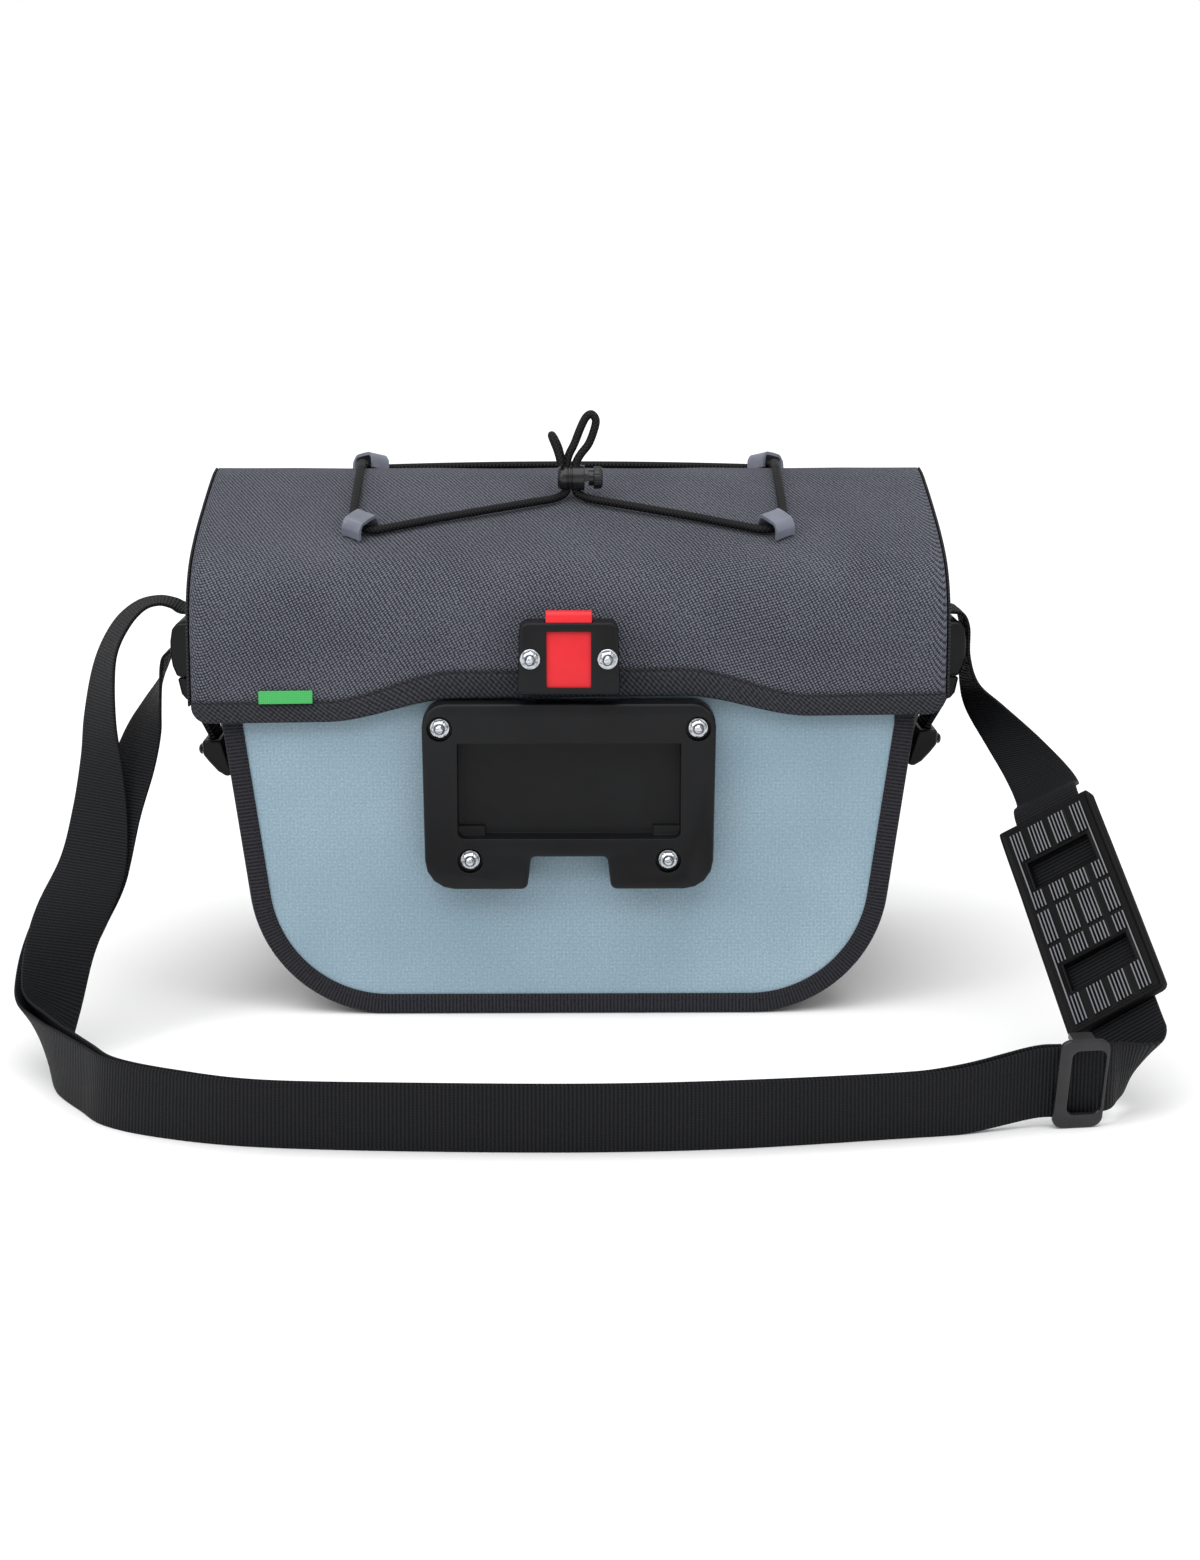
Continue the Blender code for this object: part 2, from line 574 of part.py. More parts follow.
def add_body():
    inset = BINDING_WALL + GAP
    bolt_holes = [rod(f"panel_hole_{i}", (x, -PANEL_WALL, z), (x, 2 * PANEL_WALL, z), BOLT_HOLE, 12)
                  for i, (x, z) in enumerate(plate_bolts() + latch_bolts())]
    front = prism("front_panel", whole_path(inset), 0.0, PANEL_WALL, "blue_fabric")
    cut(front, *bolt_holes)
    prism("rear_panel", whole_path(inset), BODY_DEPTH - PANEL_WALL, BODY_DEPTH, "blue_fabric")

    stations = np.concatenate([[PANEL_WALL + GAP, BINDING_SIDE + GAP],
                               BODY_DEPTH * np.array([0.10, 0.20, 0.35, 0.5, 0.65, 0.80, 0.90]),
                               [BODY_DEPTH - BINDING_SIDE - GAP, BODY_DEPTH - PANEL_WALL - GAP]])
    rows = []
    for y in stations[::-1]:
        rows.append([(x + np.sign(x) * gusset_bulge(y, z), y, z) for x, z in whole_path(inset)])
    gusset = add_object("gusset", grid_mesh("gusset", np.array(rows)), "dark_fabric")
    solidify(gusset, GUSSET_WALL, outward=False)

    for name, face, side in (("front_binding", 0.0, 1), ("rear_binding", BODY_DEPTH, -1)):
        section = ((0.0, BINDING_SIDE), (0.0, -BINDING_WALL * 0.4), (BINDING_WALL * 0.6, -BINDING_WALL),
                   (BINDING_FACE, -BINDING_WALL), (BINDING_FACE, -GAP), (BINDING_WALL, -GAP),
                   (BINDING_WALL, BINDING_SIDE))
        paths = [whole_path(inward) for inward, _ in section]
        rings = np.array([[(path[i][0], face + side * depth, path[i][1])
                           for path, (_, depth) in zip(paths, section)] for i in range(len(paths[0]))])
        add_object(name, facing_out(grid_mesh(name, rings, closed_rows=True)), "tape")


def arch_column(name):
    return [row[ARCH_COLUMNS.index(name)] for row in LID_ARCH]


def lid_height(y):
    """Outer surface of the lid's arch at depth y."""
    share = 1 - min(abs(y - LID_MID_Y) / (LID_DEPTH / 2), 1.0)
    return LID_SHOULDER + LID_RISE * float(np.interp(share, arch_column("back"), arch_column("up")))


def lid_half_width(z):
    share = np.clip((z - LID_SHOULDER) / LID_RISE, 0.0, 1.0)
    return HALF_LID - share ** 2 * (LID_WIDTH - LID_CROWN_WIDTH) / 2


def lift(x):
    """One over the latch, falling smoothly to zero towards the ends."""
    t = np.clip((abs(x) - HEM_LIFT_INNER) / (HEM_LIFT_OUTER - HEM_LIFT_INNER), 0.0, 1.0)
    return 1 - t * t * (3 - 2 * t)


def hem_low(x):
    """Lower edge of the lid's front wall, with rounded corners at its ends."""
    into_corner = np.clip(abs(x) - (HALF_LID - HEM_CORNER), 0.0, HEM_CORNER)
    corner = HEM_CORNER - sqrt(HEM_CORNER ** 2 - into_corner ** 2)
    return LID_END_HEIGHT + HEM_LIFT * lift(x) + HEM_SKEW * x / HALF_LID + corner


def hem_high(x):
    return LID_END_HEIGHT + HEM_LIFT * lift(x) + HEM_SKEW * x / HALF_LID + HEM_WIDTH + HEM_EXTRA * lift(x)


def lid_stations():
    """Places across the lid, as shares of its half width, closer at the lift and the ends."""
    inner = np.linspace(HEM_LIFT_INNER, HEM_LIFT_OUTER, 6) / HALF_LID
    corner = 1 - HEM_CORNER / HALF_LID * np.array([1.0, 0.5, 0.15, 0.0])
    half = np.concatenate([[0.0], inner, [(inner[-1] + corner[0]) / 2], corner])
    return np.concatenate([-half[:0:-1], half])


def lid_arch():
    """Depth and height of points over the arch, from the front shoulder to the rear one."""
    back = np.array(arch_column("back") + [2 - share for share in arch_column("back")[-2::-1]])
    up = np.array(arch_column("up") + arch_column("up")[-2::-1])
    return LID_FRONT + back * LID_DEPTH / 2, LID_SHOULDER + up * LID_RISE


def add_lid():
    arch_y, arch_z = lid_arch()
    rows = []
    for share in lid_stations():
        low = hem_low(share * HALF_LID)
        row = [(share * HALF_LID, LID_FRONT, low)]
        row += [(share * lid_half_width(z), y, z) for y, z in zip(arch_y, arch_z)]
        row += [(share * HALF_LID, LID_FRONT + LID_DEPTH, LID_END_HEIGHT + HEM_SKEW * share)]
        rows.append(row)
    mesh = grid_mesh("lid_shell", np.array(rows))
    shape = bmesh.new()
    shape.from_mesh(mesh)
    shape.verts.ensure_lookup_table()
    columns = len(rows[0])
    for first in (0, (len(rows) - 1) * columns):
        for i in range((columns - 1) // 2 - 1):
            ring = [shape.verts[first + k] for k in (i, i + 1, columns - 2 - i, columns - 1 - i)]
            shape.faces.new(ring)
        middle = (columns - 1) // 2
        shape.faces.new([shape.verts[first + k] for k in (middle - 1, middle, middle + 1)])
    bmesh.ops.recalc_face_normals(shape, faces=shape.faces)
    top = max(shape.faces, key=lambda face: face.calc_center_median().z)
    if top.normal.z < 0:
        bmesh.ops.reverse_faces(shape, faces=shape.faces)
    shape.to_mesh(mesh)
    shape.free()
    lid = add_object("lid_shell", mesh, "grey_fabric")
    solidify(lid, LID_WALL, outward=False)
    cut(lid, *[rod(f"lid_hole_{i}", (x, LID_FRONT - LID_WALL, z), (x, LID_FRONT + 2 * LID_WALL, z),
                   BOLT_HOLE, 12) for i, (x, z) in enumerate(latch_bolts())])

    shares = lid_stations()
    face = LID_FRONT - GAP
    rows = [[(s * HALF_LID, face, hem_low(s * HALF_LID)), (s * HALF_LID, face, hem_high(s * HALF_LID))]
            for s in shares]
    hem = add_object("lid_hem_front", wall_strip("lid_hem_front", rows, -HEM_WALL), "tape")
    cut(hem, *[rod(f"hem_hole_{i}", (x, HEM_FACE - HEM_WALL, z), (x, LID_FRONT, z), BOLT_HOLE, 12)
               for i, (x, z) in enumerate(latch_bolts())])
    rear = LID_FRONT + LID_DEPTH + GAP
    rows = [[(s * HALF_LID, rear, LID_END_HEIGHT + HEM_SKEW * s),
             (s * HALF_LID, rear, LID_END_HEIGHT + HEM_SKEW * s + HEM_WIDTH)] for s in (-1, -0.5, 0, 0.5, 1)]
    add_object("lid_hem_rear", wall_strip("lid_hem_rear", rows, HEM_WALL), "tape")

    for name, side in (("lid_end_tape_left", -1), ("lid_end_tape_right", 1)):
        low_front = LID_END_HEIGHT + side * HEM_SKEW + HEM_CORNER
        y = np.concatenate([[LID_FRONT, LID_FRONT], arch_y, [LID_FRONT + LID_DEPTH] * 2])
        z = np.concatenate([[low_front, (low_front + LID_SHOULDER) / 2], arch_z,
                            [(low_front + LID_SHOULDER) / 2, low_front]])
        inward = np.stack([LID_MID_Y - y, LID_SHOULDER - LID_RISE * 0.3 - z], 1)
        inward[z <= LID_SHOULDER, 1] = 0.0
        inward /= np.linalg.norm(inward, axis=1)[:, None]
        x = side * (np.array([lid_half_width(h) for h in z]) + GAP * 2 + END_TAPE_WALL / 2)
        half = inward * END_TAPE_WIDTH / 2
        middle = np.stack([x, y + half[:, 0], z + half[:, 1]], 1)
        across = np.stack([np.zeros(len(x)), inward[:, 0], inward[:, 1]], 1)
        ribbon(name, middle, across, END_TAPE_WIDTH, END_TAPE_WALL, "tape")

    label_low = hem_high(LABEL_X) - LABEL_HEIGHT * 0.2
    tilt = (hem_high(LABEL_X + LABEL_WIDTH / 2) - hem_high(LABEL_X - LABEL_WIDTH / 2))
    outline = [(LABEL_X - LABEL_WIDTH / 2, label_low), (LABEL_X + LABEL_WIDTH / 2, label_low + tilt),
               (LABEL_X + LABEL_WIDTH / 2, label_low + tilt + LABEL_HEIGHT),
               (LABEL_X - LABEL_WIDTH / 2, label_low + LABEL_HEIGHT)]
    prism("hem_label", outline, HEM_FACE - GAP - LABEL_WALL, HEM_FACE - GAP, "label")


def wall_strip(name, rows, depth):
    """Solid strip: each row is a low and a high point on its back, carried along Y by depth."""
    rings = [[low, high, (high[0], high[1] + depth, high[2]), (low[0], low[1] + depth, low[2])]
             for low, high in rows]
    return facing_out(grid_mesh(name, np.array(rings), closed_rows=True))


def plate_bolts():
    return [(side * NUT_UPPER_SPACING / 2, NUT_UPPER_HEIGHT) for side in (-1, 1)] + [
        (side * NUT_LOWER_SPACING / 2, NUT_LOWER_HEIGHT) for side in (-1, 1)]


def latch_bolts():
    return [(side * LATCH_NUT_SPACING / 2, LATCH_NUT_HEIGHT) for side in (-1, 1)]


def add_fastener(label, x, z, seat):
    """Bolt from inside the body, with a washer and a nut on the seat face at depth seat."""
    facing = Matrix.Rotation(pi / 2, 4, "X")      # the turned axis points along -Y
    washer_place = Matrix.Translation((x, seat - GAP, z)) @ facing
    bore = BOLT / 2 + GAP
    rim = WASHER / 2
    turned(f"{label}_washer", [(bore, WASHER_THICK), (rim, WASHER_THICK), (rim, 0.0), (bore, 0.0)],
           washer_place, "zinc")

    nut_back = seat - 2 * GAP - WASHER_THICK
    corner = NUT_FLATS / 2 / cos(pi / 6)
    outline = [(x + corner * cos(a), z + corner * sin(a)) for a in np.arange(6) * pi / 3 + pi / 12]
    nut = prism(f"{label}_nut", outline, nut_back - NUT_THICK, nut_back, "zinc")
    ahead, beyond = (x, nut_back - 2 * NUT_THICK, z), (x, nut_back + NUT_THICK, z)
    cut(nut, rod(f"{label}_bore", ahead, beyond, 2 * bore, 12))

    head_face = PANEL_WALL + GAP
    reach = head_face - (nut_back - NUT_THICK - BOLT_END)
    profile = [(0.0, reach), (BOLT / 2 * 0.6, reach), (BOLT / 2, reach - BOLT * 0.15), (BOLT / 2, 0.0),
               (BOLT_HEAD / 2, 0.0), (BOLT_HEAD / 2, -BOLT_HEAD_THICK), (0.0, -BOLT_HEAD_THICK)]
    turned(f"{label}_bolt", profile, Matrix.Translation((x, head_face, z)) @ facing, "zinc", steps=12)


def add_plate():
    foot, top = PLATE_FOOT / 2, PLATE_WIDTH / 2
    notch_top = PLATE_BOTTOM + NOTCH_HEIGHT
    right = [(NOTCH_TOP_WIDTH / 2, notch_top, NOTCH_WIDTH * 0.06),
             (NOTCH_WIDTH / 2, PLATE_BOTTOM, NOTCH_WIDTH * 0.08),
             (foot, PLATE_BOTTOM, PLATE_FOOT_RADIUS), (top, PLATE_TOP, PLATE_TOP_RADIUS)]
    corners = right + [(-x, z, r) for x, z, r in reversed(right)]
    plate = prism("mount_plate", rounded_outline(corners), PLATE_FACE, -GAP, "plastic")
    bevel(plate, PLATE_BEVEL)

    half = POCKET_WIDTH / 2
    top_z = POCKET_BOTTOM + POCKET_HEIGHT
    pocket = [(half, POCKET_BOTTOM, POCKET_RADIUS), (half, top_z, POCKET_RADIUS),
              (-half, top_z, POCKET_RADIUS), (-half, POCKET_BOTTOM, POCKET_RADIUS)]
    step_top = POCKET_BOTTOM + POCKET_STEP_HEIGHT
    floor = PLATE_FACE + POCKET_DEPTH
    step = half - POCKET_STEP
    lower = [(step, POCKET_BOTTOM), (step, step_top), (half, step_top), (half, top_z),
             (-half, top_z), (-half, step_top), (-step, step_top), (-step, POCKET_BOTTOM)]
    mouth = prism("pocket_mouth", rounded_outline(pocket), PLATE_FACE - POCKET_DEPTH,
                  floor - POCKET_STEP_DEPTH)
    cut(plate, mouth, prism("pocket_floor", lower, PLATE_FACE, floor))
    for i, (x, z) in enumerate(plate_bolts()):
        recess_foot = PLATE_FACE + NUT_RECESS_DEPTH
        cut(plate, rod(f"recess_{i}", (x, PLATE_FACE - NUT_RECESS_DEPTH, z), (x, recess_foot, z), NUT_RECESS),
            rod(f"plate_hole_{i}", (x, PLATE_FACE - PLATE_THICK, z), (x, PLATE_THICK, z), BOLT_HOLE, 12))
        add_fastener(f"plate_{i + 1}", x, z, recess_foot)


def add_latch():
    top, foot = HOUSING_WIDTH / 2, HOUSING_FOOT / 2
    high = HOUSING_BOTTOM + HOUSING_HEIGHT
    corners = [(-foot, HOUSING_BOTTOM, HOUSING_RADIUS / 2), (foot, HOUSING_BOTTOM, HOUSING_RADIUS / 2),
               (top, high, HOUSING_RADIUS), (-top, high, HOUSING_RADIUS)]
    housing = prism("latch_housing", rounded_outline(corners), HOUSING_FACE, HOUSING_BACK, "plastic")
    bevel(housing, HOUSING_BEVEL)
    half = BUTTON_WIDTH / 2
    front = HOUSING_FACE + BUTTON_FACE
    over, under = high + BUTTON_PROUD, HOUSING_BOTTOM - BUTTON_PROUD
    channel = block("button_channel", (-half - GAP, front - GAP, under),
                    (half + GAP, front + BUTTON_THICK + GAP, over))
    window = block("button_window", (-half + GAP, HOUSING_FACE - BUTTON_FACE, HOUSING_BOTTOM + WINDOW_BOTTOM),
                   (half - GAP, front + BUTTON_THICK / 2, HOUSING_BOTTOM + WINDOW_BOTTOM + WINDOW_HEIGHT))
    cut(housing, channel, window)
    for i, (x, z) in enumerate(latch_bolts()):
        behind = HOUSING_FACE - HOUSING_THICK
        cut(housing, rod(f"housing_hole_{i}", (x, behind, z), (x, 0.0, z), BOLT_HOLE, 12))
        add_fastener(f"latch_{i + 1}", x, z, HOUSING_FACE)

    lip = BUTTON_LIP
    low = HOUSING_BOTTOM + BUTTON_FOOT
    ridge = [(0.0, low), (0.0, over - lip), (lip * 0.35, over - lip * 0.2), (lip, over),
             (BUTTON_THICK * 0.7, over), (BUTTON_THICK, over - lip), (BUTTON_THICK, low)]
    rings = np.array([[(x, front + depth, z) for depth, z in ridge] for x in (-half, half)])
    mesh = facing_out(grid_mesh("release_button", rings, closed_rows=True))
    bevel(add_object("release_button", mesh, "red"), GAP, segments=1)


def lid_slope(y):
    """Angle of the lid's surface at depth y, over the width of the cord."""
    return np.arctan2(lid_height(y + CORD / 2) - lid_height(y - CORD / 2), CORD)


def lid_point(x, y, above):
    """Point at a distance above the lid, square to its surface."""
    slope = lid_slope(y)
    return (x, y - sin(slope) * above, lid_height(y) + cos(slope) * above)


def rear_bow(x, y):
    """Height that the cord's rear run bows up by, most in its middle."""
    away = np.clip(abs(y - TAB_REAR) / (2 * CORD), 0.0, 1.0)
    return CORD_BOW * (1 - away) * max(0.0, 1 - (2 * x / TAB_SPACING) ** 2)


def cord_turns():
    """Rounded turns of the cord seen from above, one under each tab, from the right front round."""
    half, strand = TAB_SPACING / 2, CORD * 0.55
    stops = [(LOCK_X + strand, LOCK_Y), (half, TAB_FRONT), (half, TAB_REAR),
             (-half, TAB_REAR), (-half, TAB_FRONT), (LOCK_X - strand, LOCK_Y)]
    return [round_corner(corner, before, after, TAB_ROUND, steps=4)
            for before, corner, after in zip(stops, stops[1:], stops[2:])]


def cord_route():
    """Closed route of the elastic cord: lock, right tabs, left tabs, lock, and the loop above."""
    rise = CORD / 2 + 2 * GAP
    strand = CORD * 0.55
    right, left = LOCK_X + strand, LOCK_X - strand
    plan = [(right, LOCK_Y)] + [point for turn in cord_turns() for point in turn] + [(left, LOCK_Y)]
    runs = []
    for (x0, y0), (x1, y1) in zip(plan, plan[1:]):
        count = 1 + int(max(abs(x1 - x0) / (7 * CORD), abs(y1 - y0) / (1.5 * CORD)))
        runs += [(x0 + (x1 - x0) * i / count, y0 + (y1 - y0) * i / count) for i in range(count)]
    low = [lid_point(x, y, rise + rear_bow(x, y)) for x, y in runs
           if np.hypot(x - LOCK_X, y - LOCK_Y) > 1.6 * CORD + strand]

    axis = lid_height(LOCK_Y) + LOCK_LIFT
    foot = axis - BARREL / 2
    loop = [(LOCK_X + u * CORD, LOCK_Y + v * CORD, axis + w * CORD) for u, v, w in BIGHT]
    to_left = [(left, LOCK_Y, foot), lid_point(left - 0.8 * CORD, LOCK_Y, rise * 1.1)]
    to_right = [(right, LOCK_Y, foot), lid_point(right + 0.8 * CORD, LOCK_Y, rise * 1.1)]
    rising = catmull_rom(to_left[::-1] + loop[::-1] + to_right, 2)
    return [tuple(p) for p in rising] + low


def add_cords():
    tube("elastic_cord", cord_route(), CORD, cyclic=True)
    axis = lid_height(LOCK_Y) + LOCK_LIFT
    pull = [(LOCK_X + u * CORD, LOCK_Y + v * CORD, axis + w * CORD) for u, v, w in PULL_LOOP]
    tube("lock_pull_loop", [tuple(p) for p in catmull_rom(pull, 2)], CORD)

    for name, turn in zip(("front_right", "rear_right", "rear_left", "front_left"), cord_turns()):
        (x, y), before, after = turn[2], turn[1], turn[3]
        heading = atan2(after[1] - before[1], after[0] - before[0])
        inner_h = CORD + 7 * GAP
        width = TAB_INSIDE / 2
        outer = [(-width - TAB_WALL, 0.0), (-width - TAB_WALL, inner_h * 0.85),
                 (-width * 0.8, inner_h + TAB_WALL), (width * 0.8, inner_h + TAB_WALL),
                 (width + TAB_WALL, inner_h * 0.85), (width + TAB_WALL, 0.0)]
        arch = outer + [(width, 0.0), (width, inner_h * 0.8), (width * 0.75, inner_h),
                        (-width * 0.75, inner_h), (-width, inner_h * 0.8), (-width, 0.0)]
        seat = lid_point(x, y, GAP + TAB_WALL * 0.25)
        place = (Matrix.Translation(seat) @ Matrix.Rotation(lid_slope(y), 4, "X")
                 @ Matrix.Rotation(heading, 4, "Z"))
        rings = np.array([[tuple(place @ Vector((run, u, w))) for u, w in arch]
                          for run in (-TAB_LENGTH / 2, TAB_LENGTH / 2)])
        name = f"cord_tab_{name}"
        add_object(name, facing_out(grid_mesh(name, rings, closed_rows=True)), "tab")

    along_x = Matrix.Translation((LOCK_X, LOCK_Y, axis)) @ Matrix.Rotation(pi / 2, 4, "Y")
    outer, bore = BARREL / 2, BARREL / 2 - BARREL_WALL
    length = BARREL_LENGTH / 2
    floor = -length * 0.70
    profile = [(0.0, floor), (bore, floor), (bore, length), (outer, length), (outer, -length * 0.75),
               (outer * 0.8, -length), (0.0, -length)]
    barrel = turned("cord_lock_barrel", profile, along_x, "plastic")
    slot = CORD * 1.1 + 2 * GAP
    strand = CORD * 0.55 + CORD / 2 + 2 * GAP
    hole = block("cord_hole", (LOCK_X - strand, LOCK_Y - slot / 2, axis - BARREL),
                 (LOCK_X + strand, LOCK_Y + slot / 2, axis + BARREL))
    cut(barrel, hole)
    stem = bore - GAP
    head = length + PLUNGER_TRAVEL + GAP
    face = head + PLUNGER_HEAD_THICK
    foot = floor + PLUNGER_TRAVEL + GAP
    rim = PLUNGER_HEAD / 2
    profile = [(0.0, face), (rim * 0.85, face), (rim, head + PLUNGER_HEAD_THICK * 0.6), (rim, head),
               (stem, head), (stem, foot), (0.0, foot)]
    plunger = turned("cord_lock_plunger", profile, along_x, "plastic")
    slotted = block("plunger_slot", (LOCK_X - strand, LOCK_Y - slot / 2, axis - BARREL),
                    (LOCK_X + strand + PLUNGER_TRAVEL, LOCK_Y + slot / 2, axis + BARREL))
    cut(plunger, slotted)


def side_block(name, side, inner, outer, y_half, low, high, material=None):
    """Block on one side of the bag, from inner to outer distance from the middle plane."""
    x = sorted((side * inner, side * outer))
    return block(name, (x[0], BUCKLE_Y - y_half, low), (x[1], BUCKLE_Y + y_half, high), material)


def side_form(name, side, outline, seat, thick, low, high, half_width):
    """Outline of (out, up) shares carried across the bag's depth, round the buckles' middle.

    seat gives the distance from the middle plane at the foot and at the top.
    """
    foot, top = seat
    rings = [[(side * (foot + (top - foot) * up + out * thick), BUCKLE_Y + y, low + (high - low) * up)
              for out, up in outline] for y in (-half_width, half_width)]
    thing = add_object(name, facing_out(grid_mesh(name, np.array(rings), closed_rows=True)), "plastic")
    bevel(thing, BUCKLE_BEVEL, segments=1)
    return thing


def add_side(side, label):
    inner, outer = BUCKLE_X - BUCKLE_THICK / 2, BUCKLE_X + BUCKLE_THICK / 2
    half = BUCKLE_WIDTH / 2
    upright = (inner, inner)
    socket = side_form(f"buckle_socket_{label}", side, SOCKET_OUTLINE, upright, BUCKLE_THICK,
                       BUCKLE_SEAM + GAP, BUCKLE_TOP, half)
    web_half = WEB_WIDTH / 2 + 3 * GAP
    cut(socket, side_block(f"strap_slot_{label}", side, inner - BUCKLE_THICK, outer + BUCKLE_THICK, web_half,
                           BUCKLE_SLOT_BOTTOM, BUCKLE_SLOT_TOP))
    plug = side_form(f"buckle_plug_{label}", side, PLUG_OUTLINE, upright, BUCKLE_THICK,
                     BUCKLE_FOOT, BUCKLE_SEAM - GAP, half * 0.94)
    closure_half = CLOSURE_WIDTH / 2
    closure_x = inner + BUCKLE_THICK * CLOSURE_SEAT
    cut(plug, side_block(f"closure_slot_{label}", side, closure_x - CLOSURE_WALL / 2 - GAP,
                         closure_x + CLOSURE_WALL / 2 + GAP, closure_half + GAP,
                         BUCKLE_FOOT - CLOSURE_WALL, (BUCKLE_FOOT + BUCKLE_SEAM) / 2))

    low, high = ANCHOR_FOOT + side * ANCHOR_SKEW, ANCHOR_TOP + side * ANCHOR_SKEW
    height = high - low
    foot_seat = gusset_half_width(BUCKLE_Y, low) + GAP * 2
    seat = max(foot_seat, gusset_half_width(BUCKLE_Y, high) + GAP * 2)
    anchor = side_form(f"side_anchor_{label}", side, ANCHOR_OUTLINE, (foot_seat, seat), ANCHOR_THICK,
                       low, high, ANCHOR_WIDTH / 2)
    mouth = seat + ANCHOR_THICK / 2
    web_low = high - height * 0.25
    cut(anchor, side_block(f"anchor_mouth_{label}", side, mouth - CLOSURE_WALL / 2 - 2 * GAP,
                           mouth + CLOSURE_WALL / 2 + 2 * GAP, closure_half + GAP, web_low - GAP,
                           high + height))
    rivet_z = low + height * 0.60
    rivet_in = gusset_half_width(BUCKLE_Y, rivet_z) + GAP
    rivet_face = seat + ANCHOR_THICK * 1.22
    cut(anchor, rod(f"rivet_hole_{label}", (side * (rivet_in - ANCHOR_THICK), BUCKLE_Y, rivet_z),
                    (side * (rivet_face + ANCHOR_THICK), BUCKLE_Y, rivet_z), RIVET_SHANK + 2 * GAP, 12))
    shank = rivet_face - rivet_in + GAP
    profile = [(0.0, shank + RIVET * 0.30), (RIVET * 0.32, shank + RIVET * 0.22), (RIVET / 2, shank),
               (RIVET_SHANK / 2, shank), (RIVET_SHANK / 2, 0.0), (0.0, 0.0)]
    rivet_at = Matrix.Translation((side * rivet_in, BUCKLE_Y, rivet_z))
    outward = rivet_at @ Matrix.Rotation(side * pi / 2, 4, "Y")
    turned(f"anchor_rivet_{label}", profile, outward, "plastic", steps=12)

    top_z = (BUCKLE_FOOT + BUCKLE_SEAM) / 2 - GAP
    middle = np.array([(side * closure_x, BUCKLE_Y, top_z), (side * closure_x, BUCKLE_Y, BUCKLE_FOOT - GAP),
                       (side * mouth, BUCKLE_Y, high + GAP), (side * mouth, BUCKLE_Y, web_low + GAP)])
    across = np.tile((0.0, 1.0, 0.0), (len(middle), 1))
    ribbon(f"closure_webbing_{label}", middle, across, CLOSURE_WIDTH, CLOSURE_WALL, "webbing")


def strap_sections(rows, side=-1):
    """Middle line and crosswise directions from rows of the strap's sections."""
    middle, across = [], []
    for row in rows:
        at = dict(zip(SECTION_COLUMNS, row))
        turn, rise = radians(at["turn"]), radians(at["rise"])
        direction = (cos(rise) * cos(turn), cos(rise) * sin(turn), sin(rise))
        middle.append((at["across"] * BUCKLE_X + side * at["out"] * STRAP_REACH,
                       BUCKLE_Y - at["forward"] * STRAP_FORWARD,
                       at["up"] * BUCKLE_TOP + WEB_WIDTH / 2 * abs(direction[2])))
        across.append(direction)
    return np.array(middle), np.array(across)


def beside(middle, across, distance):
    """The same line moved along the webbing's normal."""
    along = np.gradient(middle, axis=0)
    normal = np.cross(along, across)
    return middle + normal / np.linalg.norm(normal, axis=1)[:, None] * distance


def smooth_sections(middle, across, steps):
    made = catmull_rom(np.hstack([middle, across]), steps)
    return made[:, :3], made[:, 3:]


def add_slider():
    """Frame on the strap: two bars in front of it and one behind it, between two rails."""
    (centre,), (up,) = strap_sections((SLIDER_PLACE,))
    ahead = Vector((cos(radians(SLIDER_YAW)), sin(radians(SLIDER_YAW)), 0.0))
    facing = ahead.cross(Vector(up)).normalized()
    upward = facing.cross(ahead)
    turned_to = Matrix((ahead, facing, upward)).transposed().to_4x4()
    place = Matrix.Translation(Vector(centre) + facing * LAYER / 2) @ turned_to
    half = SLIDER_LENGTH / 2
    passage = WEB_WALL + 2 * GAP
    depth = passage + SLIDER_WALL
    web_half = WEB_WIDTH / 2 + 2 * GAP
    far = 2 * SLIDER_LENGTH
    end = SLIDER_HEIGHT / 2
    frame = block("strap_slider", (-half, -depth, -end), (half, depth, end), "plastic")
    bevel(frame, SLIDER_WALL * 0.5)
    cutters = [block("slider_passage", (-far, -passage, -web_half), (far, passage, web_half)),
               block("slider_window", (SLIDER_BAR - half, 0.0, -SLIDER_WINDOW / 2),
                     (half - SLIDER_BAR, far, SLIDER_WINDOW / 2))]
    for side in (-1, 1):
        low, high = sorted((side * SLIDER_BACK_BAR / 2, side * far))
        cutters.append(block(f"slider_rear_{side}", (low, -far, -web_half), (high, 0.0, web_half)))
    cut(frame, *cutters)
    for thing in [frame] + cutters:
        thing.matrix_world = place


